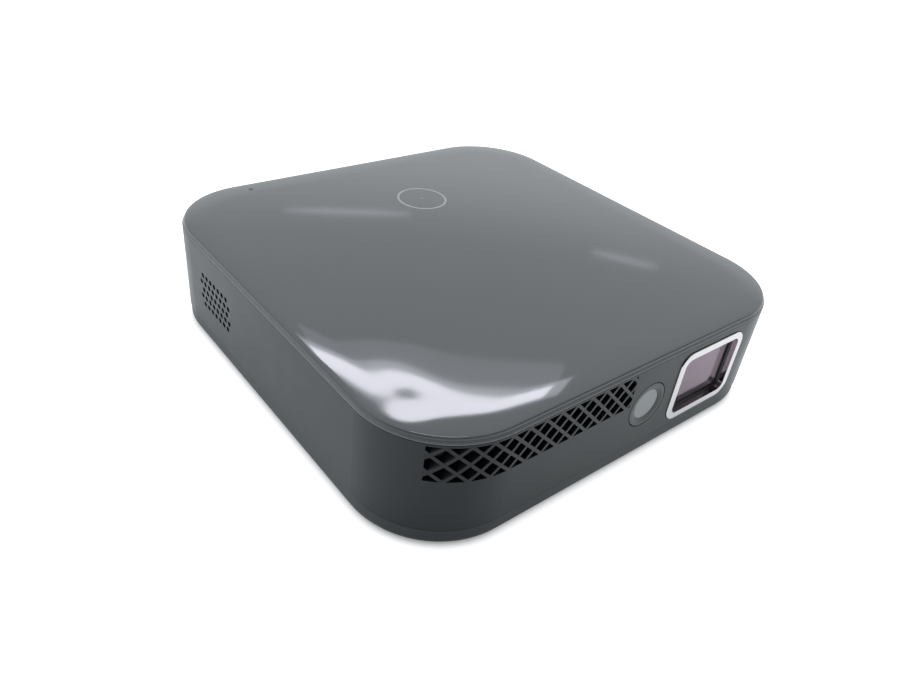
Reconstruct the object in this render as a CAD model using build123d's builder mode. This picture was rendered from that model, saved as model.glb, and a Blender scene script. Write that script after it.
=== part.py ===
"""Palm-size square projector with a glossy lid, a wrap-round diamond grille and a chrome window.

Millimetres. +Z is up and z = 0 is the surface that the feet stand on. The projection window faces
-Y and the speaker holes face -X. The origin is at the middle of the footprint.
"""

import os
from math import ceil, cos, pi, radians, sin, sqrt, tan

from build123d import *

os.makedirs("parts", exist_ok=True)

# ---------------------------------------------------------------- case, driving dimensions
width = 145.0
depth = 145.0
height = 35.0
corner_radius = 26.0
wall = 2.0
foot_proud = 0.6
base_height = 5.0
base_inset = 0.2
base_round = 1.8
floor_thickness = 1.8
seam_chamfer = 0.2
fit_gap = 0.15
lip_wall = 1.2
lip_rise = 1.5
cover_thickness = 1.2
cover_inset = 0.5
cover_round = 0.35
trim_height = 0.85
touch_clearance = 0.02

# Screws, posts and feet
corner_post_inset = 15.5
corner_post_radius = 3.6
boss_radius = 4.2
boss_height = 8.4
screw_shank_radius = 1.1
screw_pilot_clearance = 0.05
screw_pass_clearance = 0.25
screw_length = 12.0
screw_head_radius = 2.3
screw_cross_length = 3.0
screw_cross_width = 0.7
screw_head_height = 1.4
screw_head_clearance = 0.3
screw_head_depth = 0.4
foot_radius = 5.5
foot_inset = 24.5
foot_recess = 0.5
post_radius = 2.6

# Tripod bush, 1/4 inch thread
bush_radius = 5.0
bush_height = 7.0
bush_bore_radius = 3.175
bush_bore_depth = 5.8
bush_socket_wall = 2.2
bush_socket_cap = 1.4

# Touch mark and status light on the cover
ring_x = 6.6
ring_from_rear = 37.1
ring_radius = 8.3
ring_line = 0.7
ring_depth = 0.3
dot_radius = 0.55
touch_board_side = 26.0
touch_board_thickness = 1.0
light_from_left = 30.2
light_from_rear = 5.6
light_radius = 0.75
light_gap = 0.05
light_flange_radius = 1.4
light_flange_height = 0.8

# Front face: projection window, sensor and grille
window_from_right = 41.6
window_width = 29.2
window_edge_gap = 2.075
window_corner = 4.6
window_band = 2.2
window_proud = 0.4
window_recess = 2.2
window_gap = 0.15
window_flange_side = 1.6
window_lip_gap = 0.125
window_flange_thickness = 0.9
glass_thickness = 1.0
glass_rebate = 1.2
sensor_spacing = 26.0
sensor_radius = 6.9
sensor_lens_radius = 4.7
sensor_dish_radius = 6.1
sensor_recess = 0.4
sensor_gap = 0.3
sensor_flange = 1.0
sensor_flange_thickness = 0.8
sensor_lens_thickness = 1.0
sensor_tube_depth = 1.4
sensor_board_width = 14.0
sensor_board_height = 12.0
sensor_board_thickness = 1.2
vent_from_sensor = 8.0
vent_corner_angle = 46.3
vent_height = 10.4
vent_below_trim = 0.8
cell_pitch = 5.2
bar_width = 0.85
cell_start = -1.0

# Speaker in the left wall
speaker_from_rear = 42.6
speaker_hole_radius = 0.85
speaker_hole_pitch = 2.65
speaker_row_pitch = 2.55
speaker_rows = 5
speaker_long_row = 8
gasket_thickness = 1.0
speaker_length = 27.0
speaker_height = 19.0
speaker_border = 2.5
speaker_frame_depth = 4.0
cone_thickness = 0.5
cone_depth = 2.2
cone_dome_share = 0.2
magnet_radius = 6.5
magnet_depth = 5.0

# Blower and cooler
blower_from_left = 36.0
blower_from_front = 47.5
blower_side = 44.0
blower_low = 12.4
blower_height = 17.5
blower_wall = 1.2
blower_intake_edge = 3.0
volute_gap = 4.0
rotor_hub_radius = 9.0
rotor_clearance = 1.0
rotor_plate = 1.0
blade_count = 21
blade_length = 5.6
blade_thickness = 0.8
blade_angle = 32.0
shaft_radius = 1.5
running_gap = 0.06
clip_radius = 2.8
clip_thickness = 0.6
slot_count = 8
slot_pitch = 4.0
slot_length = 27.0
slot_width = 2.0
cooler_length = 38.0
cooler_depth = 16.0
cooler_front_gap = 5.0
cooler_boss_gap = 0.8
cooler_base = 1.5
cooler_low = 16.4
cooler_top_gap = 2.8
fin_count = 15
fin_thickness = 0.8
pipe_radius = 2.5
pipe_bend = 10.0
pipe_run = 70.0

# Lens, focus train and light engine
lens_front_gap = 10.5
cell_radius = 8.0
cell_length = 28.0
cell_wall = 1.5
cell_rear_gap = 6.0
sleeve_wall = 1.6
sleeve_flange_radius = 12.0
sleeve_flange_thickness = 2.0
lens_thickness = 3.6
lens_sag = 1.4
gear_module = 0.8
ring_teeth = 28
idler_teeth = 16
pinion_teeth = 16
gear_width = 3.0
gear_backlash = 0.16
tooth_addendum = 0.8
tooth_dedendum = 1.1
pressure_angle = 20.0
gear_from_front = 31.5
axial_gap = 0.2
retainer_thickness = 1.2
retainer_rim = 1.4
shoulder_length = 2.6
wheel_proud = 1.1
wheel_rim_width = 4.0
wheel_notches = 44
wheel_notch_depth = 0.45
wheel_slot_gap = 0.7
pin_radius = 1.5
pin_head_radius = 2.4
pin_head_height = 0.8
bracket_thickness = 2.0
bracket_height = 13.0
bracket_leg = 5.0
engine_width = 48.0
engine_depth = 40.0
engine_from_front = 44.5
engine_below_lens = 12.275
engine_height = 23.0
engine_left_of_lens = 18.9
engine_wall = 2.0
engine_lid_thickness = 1.6
light_port_radius = 7.0
prism_side = 15.0
mirror_chip_side = 13.0
mirror_chip_thickness = 1.4
fold_mirror_length = 17.0
fold_mirror_thickness = 1.0
led_side = 9.0
led_thickness = 2.5
led_count = 3
led_pitch = 12.0
led_port_side = 6.0
spreader_thickness = 2.5
spreader_height = 19.0
baffle_wall = 1.0
baffle_flare = 0.6
baffle_hole_gap = 0.6

# Main board, sockets and battery
board_from_side = 20.5
board_depth = 44.0
board_low = 14.0
board_thickness = 1.6
board_from_rear = 4.5
board_hole_inset = 4.0
board_screw_head_radius = 2.2
board_screw_head_height = 1.2
usb_width = 13.1
usb_height = 5.7
usb_length = 14.0
usb_tongue = 1.8
hdmi_width = 15.0
hdmi_height = 5.8
hdmi_length = 11.5
hdmi_tongue = 1.0
shell_thickness = 0.4
tongue_share = 0.85
usb_tongue_share = 0.68
audio_body = 7.0
audio_length = 12.0
audio_bore_radius = 1.8
audio_bore_depth = 11.0
dc_body = 9.0
dc_length = 13.0
dc_bore_radius = 3.0
dc_bore_depth = 9.5
dc_pin_radius = 1.0
card_width = 14.0
card_height = 1.9
card_length = 15.0
card_gap_height = 1.1
switch_body_width = 11.0
switch_body_depth = 5.0
switch_body_height = 5.0
switch_travel = 3.0
switch_knob_width = 3.4
switch_knob_height = 2.4
switch_knob_proud = 1.2
switch_gap = 0.3
port_gap = 0.2
port_row_end = 1.0
shield_width = 26.0
shield_depth = 20.0
shield_height = 2.6
chip_side = 9.0
chip_pitch = 14.4
chips_x = 14.0
chip_height = 1.2
battery_width = 76.0
battery_depth = 34.0
battery_thickness = 8.5
battery_corner = 3.0
antenna_length = 30.0
antenna_height = 8.0
antenna_thickness = 0.8

# ---------------------------------------------------------------- derived places
left_x = -width / 2
right_x = width / 2
front_y = -depth / 2
rear_y = depth / 2
inner_left_x = left_x + wall
inner_right_x = right_x - wall
inner_front_y = front_y + wall
inner_rear_y = rear_y - wall
base_z = foot_proud
floor_z = base_z + floor_thickness
post_root_z = base_z + floor_thickness / 2
part_z = base_z + base_height
cover_low_z = height - cover_thickness
trim_low_z = cover_low_z - trim_height
face_mid_z = (part_z + trim_low_z) / 2
lip_inset = wall + fit_gap
hollow_inset = lip_inset + lip_wall
boss_top_z = base_z + boss_height

window_x = right_x - window_from_right
window_height = trim_low_z - part_z - 2 * window_edge_gap
flange_width = window_width + 2 * window_flange_side
flange_height = trim_low_z - part_z - 2 * (lip_rise + window_lip_gap)
sensor_x = window_x - sensor_spacing
vent_x = sensor_x - vent_from_sensor
vent_mid_z = trim_low_z - vent_below_trim - vent_height / 2
corner_x = left_x + corner_radius
corner_y = front_y + corner_radius
speaker_y = rear_y - speaker_from_rear
ring_y = rear_y - ring_from_rear
light_x = left_x + light_from_left
light_y = rear_y - light_from_rear

blower_x = left_x + blower_from_left
blower_y = front_y + blower_from_front
blower_top_z = blower_low + blower_height
blower_half = blower_side / 2
rotor_radius = blower_half - blower_wall - volute_gap
blower_intake_radius = rotor_radius - blower_intake_edge
cooler_left_x = left_x + corner_post_inset + boss_radius + cooler_boss_gap
cooler_right_x = cooler_left_x + cooler_length
cooler_x = (cooler_left_x + cooler_right_x) / 2
cooler_front_y = inner_front_y + cooler_front_gap
cooler_rear_y = cooler_front_y + cooler_depth
cooler_top_z = cover_low_z - cooler_top_gap

lens_x = window_x
lens_z = face_mid_z
cell_front_y = front_y + lens_front_gap
sleeve_bore = cell_radius + running_gap
sleeve_radius = sleeve_bore + sleeve_wall
gear_front_y = front_y + gear_from_front - gear_width
gear_rear_y = gear_front_y + gear_width
idler_x = lens_x + gear_module * (ring_teeth + idler_teeth) / 2
wheel_x = idler_x + gear_module * (idler_teeth + pinion_teeth) / 2
wheel_radius = right_x + wheel_proud - wheel_x
rim_rear_y = gear_front_y - axial_gap
rim_front_y = rim_rear_y - wheel_rim_width
bracket_front_y = gear_rear_y + axial_gap
bracket_rear_y = bracket_front_y + bracket_thickness
engine_front_y = front_y + engine_from_front
engine_rear_y = engine_front_y + engine_depth
engine_left_x = lens_x - engine_left_of_lens
engine_right_x = engine_left_x + engine_width
engine_low = lens_z - engine_below_lens
engine_top_z = engine_low + engine_height
engine_lid_z = engine_top_z - engine_lid_thickness
spreader_x = engine_left_x - led_thickness - spreader_thickness
pipe_x = spreader_x - pipe_radius
pipe_z = cooler_low - pipe_radius
pipe_y = (cooler_front_y + cooler_rear_y) / 2

board_width = width - 2 * board_from_side
board_top_z = board_low + board_thickness
board_rear_y = rear_y - board_from_rear
board_front_y = board_rear_y - board_depth
board_y = (board_front_y + board_rear_y) / 2

# The sockets and the switch share the rear wall between its corners, with equal gaps
port_row_length = width - 2 * (corner_radius + port_row_end)
port_widths = (dc_body, usb_width, hdmi_width, audio_body, card_width, switch_body_width)
port_space = (port_row_length - sum(port_widths)) / (len(port_widths) - 1)
dc_x = left_x + corner_radius + port_row_end + dc_body / 2
usb_x = dc_x + (dc_body + usb_width) / 2 + port_space
hdmi_x = usb_x + (usb_width + hdmi_width) / 2 + port_space
audio_x = hdmi_x + (hdmi_width + audio_body) / 2 + port_space
card_x = audio_x + (audio_body + card_width) / 2 + port_space
switch_x = card_x + (card_width + switch_body_width) / 2 + port_space


# ---------------------------------------------------------------- helpers
def block(x0, x1, y0, y1, z0, z1, mode=Mode.ADD):
    """Box between two corners."""
    with Locations(((x0 + x1) / 2, (y0 + y1) / 2, (z0 + z1) / 2)):
        Box(x1 - x0, y1 - y0, z1 - z0, mode=mode)


def post(places, radius, z0, z1, mode=Mode.ADD):
    """Upright round posts, or holes, at the given plan places."""
    with Locations(*[(x, y, (z0 + z1) / 2) for x, y in places]):
        Cylinder(radius, z1 - z0, mode=mode)


def rod_y(x, z, y0, y1, radius, mode=Mode.ADD):
    """Round rod, or hole, along Y."""
    with Locations((x, (y0 + y1) / 2, z)):
        Cylinder(radius, y1 - y0, rotation=(90, 0, 0), mode=mode)


def rod_x(y, z, x0, x1, radius, mode=Mode.ADD):
    """Round rod, or hole, along X."""
    with Locations(((x0 + x1) / 2, y, z)):
        Cylinder(radius, x1 - x0, rotation=(0, 90, 0), mode=mode)


def facing_front(y, x=0.0, z=0.0):
    """Upright plane that looks along -Y, with X to the right and Z up."""
    return Plane(origin=(x, y, z), x_dir=(1, 0, 0), z_dir=(0, -1, 0))


def facing_left(x, y=0.0, z=0.0):
    """Upright plane that looks along -X, with -Y to the right and Z up."""
    return Plane(origin=(x, y, z), x_dir=(0, -1, 0), z_dir=(-1, 0, 0))


def plan_ring(z, outer_inset, inner_inset):
    """Ring between two insets of the case's plan outline."""
    with BuildSketch(Plane.XY.offset(z)) as ring:
        RectangleRounded(width - 2 * outer_inset, depth - 2 * outer_inset, corner_radius - outer_inset)
        RectangleRounded(
            width - 2 * inner_inset,
            depth - 2 * inner_inset,
            corner_radius - inner_inset,
            mode=Mode.SUBTRACT,
        )
    return ring.sketch


def vent_strip(z, outer_inset, inner_inset):
    """Plan of the stretch of front wall and corner that the grille fills."""
    outer = corner_radius - outer_inset
    inner = corner_radius - inner_inset
    end = 270.0 - vent_corner_angle
    with BuildSketch(Plane.XY.offset(z)) as strip:
        with BuildLine():
            Line((vent_x, corner_y - outer), (corner_x, corner_y - outer))
            CenterArc((corner_x, corner_y), outer, 270.0, -vent_corner_angle)
            Line(
                (corner_x + outer * cos(radians(end)), corner_y + outer * sin(radians(end))),
                (corner_x + inner * cos(radians(end)), corner_y + inner * sin(radians(end))),
            )
            CenterArc((corner_x, corner_y), inner, end, vent_corner_angle)
            Line((corner_x, corner_y - inner), (vent_x, corner_y - inner))
            Line((vent_x, corner_y - inner), (vent_x, corner_y - outer))
        make_face()
    return strip.sketch


def gear_profile(y, x, z, teeth, first_angle):
    """Straight-flanked spur gear outline at the height of the lens axis."""
    pitch = gear_module * teeth / 2
    tip = pitch + tooth_addendum * gear_module
    root = pitch - tooth_dedendum * gear_module
    half = pi * gear_module / 4 - gear_backlash / 2
    slope = tan(radians(pressure_angle))
    root_half = (half + (pitch - root) * slope) / root
    tip_half = (half - (tip - pitch) * slope) / tip
    points = []
    for index in range(teeth):
        middle = radians(first_angle) + 2 * pi * index / teeth
        for radius, angle in (
            (root, middle - root_half),
            (tip, middle - tip_half),
            (tip, middle + tip_half),
            (root, middle + root_half),
        ):
            points.append((radius * cos(angle), radius * sin(angle)))
    with BuildSketch(facing_front(y, x, z)) as profile:
        with BuildLine():
            Polyline(*points, close=True)
        make_face()
    return profile.sketch


corner_posts = [
    (sx * (width / 2 - corner_post_inset), sy * (depth / 2 - corner_post_inset))
    for sx in (-1, 1)
    for sy in (-1, 1)
]
foot_places = [
    (sx * (width / 2 - foot_inset), sy * (depth / 2 - foot_inset)) for sx in (-1, 1) for sy in (-1, 1)
]
blower_post_reach = blower_half - post_radius
blower_posts = [
    (blower_x + sx * blower_post_reach, blower_y + sy * blower_post_reach) for sx in (-1, 1) for sy in (-1, 1)
]
cooler_post_reach = cooler_length / 2 - post_radius
cooler_posts = [(cooler_x + sx * cooler_post_reach, cooler_rear_y - post_radius) for sx in (-1, 1)]
engine_posts = [
    (x, y)
    for x in (engine_left_x + 2 * post_radius, engine_right_x - 2 * post_radius)
    for y in (engine_front_y + 2 * post_radius, engine_rear_y - 2 * post_radius)
]
board_posts = [
    (sx * (board_width / 2 - board_hole_inset), board_y + sy * (board_depth / 2 - board_hole_inset))
    for sx in (-1, 1)
    for sy in (-1, 1)
]

# ---------------------------------------------------------------- bottom cover
# Moulded tray with rounded lower edges, a lip that centres the housing, screw bosses, posts,
# air slots under the blower and a socket for the tripod bush.
with BuildPart() as bottom_cover:
    with BuildSketch(Plane.XY.offset(base_z)):
        RectangleRounded(width - 2 * base_inset, depth - 2 * base_inset, corner_radius - base_inset)
    extrude(amount=base_height)
    fillet(bottom_cover.faces().sort_by(Axis.Z)[0].edges(), base_round)
    chamfer(bottom_cover.faces().sort_by(Axis.Z)[-1].edges(), seam_chamfer)
    with BuildSketch(Plane.XY.offset(floor_z)):
        RectangleRounded(width - 2 * hollow_inset, depth - 2 * hollow_inset, corner_radius - hollow_inset)
    extrude(amount=base_height, mode=Mode.SUBTRACT)
    extrude(plan_ring(part_z - lip_wall, lip_inset, hollow_inset), amount=lip_wall + lip_rise)
    post(corner_posts, boss_radius, post_root_z, boss_top_z)
    post(blower_posts, post_radius, post_root_z, blower_low)
    post(cooler_posts, post_radius, post_root_z, cooler_low)
    post(engine_posts, post_radius, post_root_z, engine_low)
    post(board_posts, post_radius, post_root_z, board_low)
    post(board_posts, screw_shank_radius + screw_pilot_clearance, floor_z, board_low, mode=Mode.SUBTRACT)
    post([(0, 0)], bush_radius + bush_socket_wall, post_root_z, base_z + bush_height + bush_socket_cap)
    post([(0, 0)], bush_radius + touch_clearance, base_z, base_z + bush_height, mode=Mode.SUBTRACT)
    post(corner_posts, screw_shank_radius + screw_pass_clearance, base_z, boss_top_z, mode=Mode.SUBTRACT)
    post(
        corner_posts,
        screw_head_radius + screw_head_clearance,
        base_z,
        base_z + screw_head_depth + screw_head_height,
        mode=Mode.SUBTRACT,
    )
    post(foot_places, foot_radius + touch_clearance, base_z, base_z + foot_recess, mode=Mode.SUBTRACT)
    with BuildSketch(Plane.XY.offset(base_z)):
        with Locations((blower_x, blower_y)):
            with GridLocations(0, slot_pitch, 1, slot_count):
                SlotOverall(slot_length, slot_width)
    extrude(amount=floor_thickness, mode=Mode.SUBTRACT)
bottom_cover.part.label = "bottom_cover"
export_step(bottom_cover.part, "parts/bottom_cover.step")

# ---------------------------------------------------------------- feet
# Four rubber pads in shallow round recesses.
with BuildPart() as feet:
    post(foot_places, foot_radius, 0, base_z + foot_recess)
    fillet(feet.faces().group_by(Axis.Z)[0].edges(), foot_proud / 2)
feet.part.label = "feet"
export_step(feet.part, "parts/feet.step")

# ---------------------------------------------------------------- tripod bush
# Brass insert for a camera tripod screw.
with BuildPart() as tripod_bush:
    post([(0, 0)], bush_radius, base_z, base_z + bush_height)
    post([(0, 0)], bush_bore_radius, base_z, base_z + bush_bore_depth, mode=Mode.SUBTRACT)
    chamfer(tripod_bush.faces().sort_by(Axis.Z)[0].edges().sort_by(SortBy.RADIUS)[-1], bush_height / 20)
tripod_bush.part.label = "tripod_bush"
export_step(tripod_bush.part, "parts/tripod_bush.step")

# ---------------------------------------------------------------- cover screws
# Four pan-head screws, driven from below into the posts of the top cover.
screw_seat_z = base_z + screw_head_depth + screw_head_height
with BuildPart() as cover_screws:
    post(corner_posts, screw_head_radius, base_z + screw_head_depth, screw_seat_z)
    post(corner_posts, screw_shank_radius, screw_seat_z, screw_seat_z + screw_length)
    with Locations(*[(x, y, base_z + screw_head_depth) for x, y in corner_posts]):
        Box(screw_cross_length, screw_cross_width, screw_head_height, mode=Mode.SUBTRACT)
        Box(screw_cross_width, screw_cross_length, screw_head_height, mode=Mode.SUBTRACT)
cover_screws.part.label = "cover_screws"
export_step(cover_screws.part, "parts/cover_screws.step")

# ---------------------------------------------------------------- housing
# One-piece wall between the bottom cover and the trim ring, with the openings of all four sides.
port_wall_y0 = inner_rear_y - wall
port_wall_y1 = rear_y + wall
with BuildPart() as housing:
    extrude(plan_ring(part_z, 0, wall), amount=trim_low_z - part_z)
    chamfer(housing.faces().sort_by(Axis.Z)[0].outer_wire().edges(), seam_chamfer)
    chamfer(housing.faces().sort_by(Axis.Z)[-1].outer_wire().edges(), seam_chamfer)
    # Stretch of wall that the grille fills
    extrude(vent_strip(vent_mid_z - vent_height / 2, -wall, 2 * wall), amount=vent_height, mode=Mode.SUBTRACT)
    # Projection window with a flat seat for its flange, and the remote sensor
    block(
        window_x - flange_width / 2 - window_gap,
        window_x + flange_width / 2 + window_gap,
        inner_front_y,
        inner_front_y + wall,
        face_mid_z - flange_height / 2,
        face_mid_z + flange_height / 2,
        mode=Mode.SUBTRACT,
    )
    with BuildSketch(facing_front(inner_front_y + wall, window_x, face_mid_z)):
        RectangleRounded(
            window_width + 2 * window_gap, window_height + 2 * window_gap, window_corner + window_gap
        )
    extrude(amount=3 * wall, mode=Mode.SUBTRACT)
    rod_y(
        sensor_x,
        face_mid_z,
        front_y - wall,
        inner_front_y + wall,
        sensor_radius + sensor_gap,
        Mode.SUBTRACT,
    )
    # Speaker holes, staggered rows
    with BuildSketch(facing_left(inner_left_x + wall, speaker_y, face_mid_z)):
        for row in range(speaker_rows):
            count = speaker_long_row - 1 + row % 2
            with Locations((0, (row - (speaker_rows - 1) / 2) * speaker_row_pitch)):
                with GridLocations(speaker_hole_pitch, 0, count, 1):
                    Circle(speaker_hole_radius)
    extrude(amount=3 * wall, mode=Mode.SUBTRACT)
    # Slot for the rim of the focus wheel
    slot_half = sqrt(wheel_radius**2 - (inner_right_x - wheel_x) ** 2) + wheel_slot_gap
    block(
        inner_right_x - wall,
        right_x + wall,
        rim_front_y - wheel_slot_gap,
        rim_rear_y + wheel_slot_gap,
        lens_z - slot_half,
        lens_z + slot_half,
        mode=Mode.SUBTRACT,
    )
    # Sockets and switch at the rear
    for port_x, port_width, port_height in (
        (usb_x, usb_width, usb_height),
        (hdmi_x, hdmi_width, hdmi_height),
        (card_x, card_width, card_height),
    ):
        block(
            port_x - port_width / 2 - port_gap,
            port_x + port_width / 2 + port_gap,
            port_wall_y0,
            port_wall_y1,
            board_top_z - port_gap,
            board_top_z + port_height + port_gap,
            mode=Mode.SUBTRACT,
        )
    for port_x, port_z, port_radius in (
        (audio_x, board_top_z + audio_body / 2, audio_body / 2),
        (dc_x, board_top_z + dc_body / 2, dc_bore_radius),
    ):
        rod_y(port_x, port_z, port_wall_y0, port_wall_y1, port_radius + port_gap, Mode.SUBTRACT)
    switch_mid_z = board_top_z + switch_body_height / 2
    block(
        switch_x - (switch_knob_width + switch_travel) / 2 - switch_gap,
        switch_x + (switch_knob_width + switch_travel) / 2 + switch_gap,
        port_wall_y0,
        port_wall_y1,
        switch_mid_z - switch_knob_height / 2 - switch_gap,
        switch_mid_z + switch_knob_height / 2 + switch_gap,
        mode=Mode.SUBTRACT,
    )
housing.part.label = "housing"
export_step(housing.part, "parts/housing.step")

# ---------------------------------------------------------------- front grille
# Lattice of diamond cells that fills the opening, flush with the wall round the corner. The cells
# all run straight back, the way the tool opens.
cell_half = cell_pitch / 2
cell_hole = cell_half - bar_width / sqrt(2)
vent_span = vent_x - corner_x + corner_radius * sin(radians(vent_corner_angle))
columns = ceil((vent_span - cell_start) / cell_half) + 1
with BuildPart() as front_grille:
    extrude(vent_strip(vent_mid_z - vent_height / 2, 0, wall), amount=vent_height)
    for column in range(columns):
        column_x = vent_x - cell_start - column * cell_half
        rows = (-1, 1) if column % 2 else (-2, 0, 2)
        with BuildSketch(facing_front(front_y, column_x, vent_mid_z)):
            with Locations(*[(0, row * cell_half) for row in rows]):
                Polygon((cell_hole, 0), (0, cell_hole), (-cell_hole, 0), (0, -cell_hole), align=None)
        extrude(amount=corner_radius, both=True, mode=Mode.SUBTRACT)
front_grille.part.label = "front_grille"
export_step(front_grille.part, "parts/front_grille.step")

# ---------------------------------------------------------------- trim ring
# Chamfered ring between the housing and the cover.
with BuildPart() as trim_ring:
    extrude(plan_ring(trim_low_z, 0, wall), amount=trim_height)
    chamfer(trim_ring.faces().sort_by(Axis.Z)[-1].outer_wire().edges(), cover_inset)
trim_ring.part.label = "trim_ring"
export_step(trim_ring.part, "parts/trim_ring.step")

# ---------------------------------------------------------------- top cover
# Glossy lid with a skirt inside the housing and four screw posts.
with BuildPart() as top_cover:
    with BuildSketch(Plane.XY.offset(cover_low_z)):
        RectangleRounded(width - 2 * cover_inset, depth - 2 * cover_inset, corner_radius - cover_inset)
    extrude(amount=cover_thickness)
    fillet(top_cover.faces().sort_by(Axis.Z)[-1].edges(), cover_round)
    extrude(
        plan_ring(trim_low_z - lip_rise, lip_inset, hollow_inset),
        amount=cover_low_z - trim_low_z + lip_rise + cover_thickness / 2,
    )
    post(corner_posts, corner_post_radius, boss_top_z, height - cover_thickness / 2)
    post(
        corner_posts,
        screw_shank_radius + screw_pilot_clearance,
        boss_top_z,
        screw_seat_z + screw_length + lip_wall,
        mode=Mode.SUBTRACT,
    )
    post([(ring_x, ring_y)], ring_radius + ring_line / 2, height - ring_depth, height, mode=Mode.SUBTRACT)
    post([(ring_x, ring_y)], ring_radius - ring_line / 2, height - ring_depth, height)
    post([(ring_x, ring_y)], dot_radius, height - ring_depth, height, mode=Mode.SUBTRACT)
    post([(light_x, light_y)], light_radius + light_gap, cover_low_z, height, mode=Mode.SUBTRACT)
top_cover.part.label = "top_cover"
export_step(top_cover.part, "parts/top_cover.step")

# ---------------------------------------------------------------- touch mark
# Translucent ring and centre dot, set flush into the cover over the touch board.
with BuildPart() as touch_ring:
    post([(ring_x, ring_y)], ring_radius + ring_line / 2, height - ring_depth, height)
    post([(ring_x, ring_y)], ring_radius - ring_line / 2, height - ring_depth, height, mode=Mode.SUBTRACT)
touch_ring.part.label = "touch_ring"
export_step(touch_ring.part, "parts/touch_ring.step")

with BuildPart() as touch_dot:
    post([(ring_x, ring_y)], dot_radius, height - ring_depth, height)
touch_dot.part.label = "touch_dot"
export_step(touch_dot.part, "parts/touch_dot.step")

with BuildPart() as touch_board:
    with BuildSketch(Plane.XY.offset(cover_low_z - touch_board_thickness)):
        with Locations((ring_x, ring_y)):
            RectangleRounded(touch_board_side, touch_board_side, touch_board_side / 10)
    extrude(amount=touch_board_thickness)
touch_board.part.label = "touch_board"
export_step(touch_board.part, "parts/touch_board.step")

# ---------------------------------------------------------------- status light
# Flanged light guide in its hole near the rear left corner.
with BuildPart() as status_light:
    post([(light_x, light_y)], light_radius, cover_low_z, height)
    post([(light_x, light_y)], light_flange_radius, cover_low_z - light_flange_height, cover_low_z)
status_light.part.label = "status_light"
export_step(status_light.part, "parts/status_light.step")

# ---------------------------------------------------------------- window frame and glass
# Chromed frame, held by a flange behind the wall. The glass sits on a ledge inside it.
frame_front_y = front_y - window_proud
ledge_y = frame_front_y + window_recess
flange_rear_y = inner_front_y + window_flange_thickness
opening_width = window_width - 2 * window_band
opening_height = window_height - 2 * window_band
opening_corner = window_corner - window_band
glass_width = opening_width + 2 * glass_rebate
glass_height = opening_height + 2 * glass_rebate
with BuildPart() as window_frame:
    with BuildSketch(facing_front(flange_rear_y, window_x, face_mid_z)):
        RectangleRounded(window_width, window_height, window_corner)
    extrude(amount=flange_rear_y - frame_front_y)
    fillet(window_frame.faces().sort_by(Axis.Y)[0].edges(), window_proud / 2)
    with BuildSketch(facing_front(flange_rear_y, window_x, face_mid_z)):
        RectangleRounded(flange_width, flange_height, window_corner)
    extrude(amount=window_flange_thickness)
    with BuildSketch(facing_front(flange_rear_y, window_x, face_mid_z)):
        RectangleRounded(opening_width, opening_height, opening_corner)
    extrude(amount=flange_rear_y - frame_front_y, mode=Mode.SUBTRACT)
    with BuildSketch(facing_front(flange_rear_y, window_x, face_mid_z)):
        RectangleRounded(
            glass_width + 2 * touch_clearance,
            glass_height + 2 * touch_clearance,
            opening_corner + glass_rebate,
        )
    extrude(amount=flange_rear_y - ledge_y, mode=Mode.SUBTRACT)
window_frame.part.label = "window_frame"
export_step(window_frame.part, "parts/window_frame.step")

with BuildPart() as window_glass:
    with BuildSketch(facing_front(ledge_y + glass_thickness, window_x, face_mid_z)):
        RectangleRounded(glass_width, glass_height, opening_corner + glass_rebate)
    extrude(amount=glass_thickness)
window_glass.part.label = "window_glass"
export_step(window_glass.part, "parts/window_glass.step")

# ---------------------------------------------------------------- light baffle
# Black duct from the window frame to the lens sleeve, so that the inside doesn't show.
baffle_front_y = flange_rear_y
baffle_rear_y = cell_front_y - baffle_flare
with BuildPart() as light_baffle:
    block(
        window_x - glass_width / 2 - baffle_wall - baffle_flare,
        window_x + glass_width / 2 + baffle_wall + baffle_flare,
        baffle_front_y,
        baffle_rear_y,
        face_mid_z - glass_height / 2 - baffle_wall,
        face_mid_z + glass_height / 2 + baffle_wall,
    )
    block(
        window_x - glass_width / 2 - baffle_flare,
        window_x + glass_width / 2 + baffle_flare,
        baffle_front_y,
        baffle_rear_y - baffle_wall,
        face_mid_z - glass_height / 2,
        face_mid_z + glass_height / 2,
        mode=Mode.SUBTRACT,
    )
    rod_y(window_x, face_mid_z, baffle_front_y, baffle_rear_y, cell_radius + baffle_hole_gap, Mode.SUBTRACT)
light_baffle.part.label = "light_baffle"
export_step(light_baffle.part, "parts/light_baffle.step")

# ---------------------------------------------------------------- remote sensor
# Flush bezel with a dished face, its pale window, and the sensor board behind it.
bezel_rear_y = inner_front_y + sensor_tube_depth
lens_face_y = front_y + sensor_recess
with BuildPart() as sensor_bezel:
    rod_y(sensor_x, face_mid_z, front_y, bezel_rear_y, sensor_radius)
    rod_y(
        sensor_x,
        face_mid_z,
        inner_front_y,
        inner_front_y + sensor_flange_thickness,
        sensor_radius + sensor_flange,
    )
    with Locations((sensor_x, (front_y + lens_face_y) / 2, face_mid_z)):
        Cone(
            sensor_dish_radius, sensor_lens_radius, sensor_recess, rotation=(-90, 0, 0), mode=Mode.SUBTRACT
        )
    rod_y(
        sensor_x,
        face_mid_z,
        lens_face_y,
        bezel_rear_y,
        sensor_lens_radius + touch_clearance,
        Mode.SUBTRACT,
    )
sensor_bezel.part.label = "sensor_bezel"
export_step(sensor_bezel.part, "parts/sensor_bezel.step")

with BuildPart() as sensor_window:
    rod_y(sensor_x, face_mid_z, lens_face_y, lens_face_y + sensor_lens_thickness, sensor_lens_radius)
    fillet(sensor_window.faces().sort_by(Axis.Y)[0].edges(), sensor_recess / 2)
sensor_window.part.label = "sensor_window"
export_step(sensor_window.part, "parts/sensor_window.step")

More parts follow.
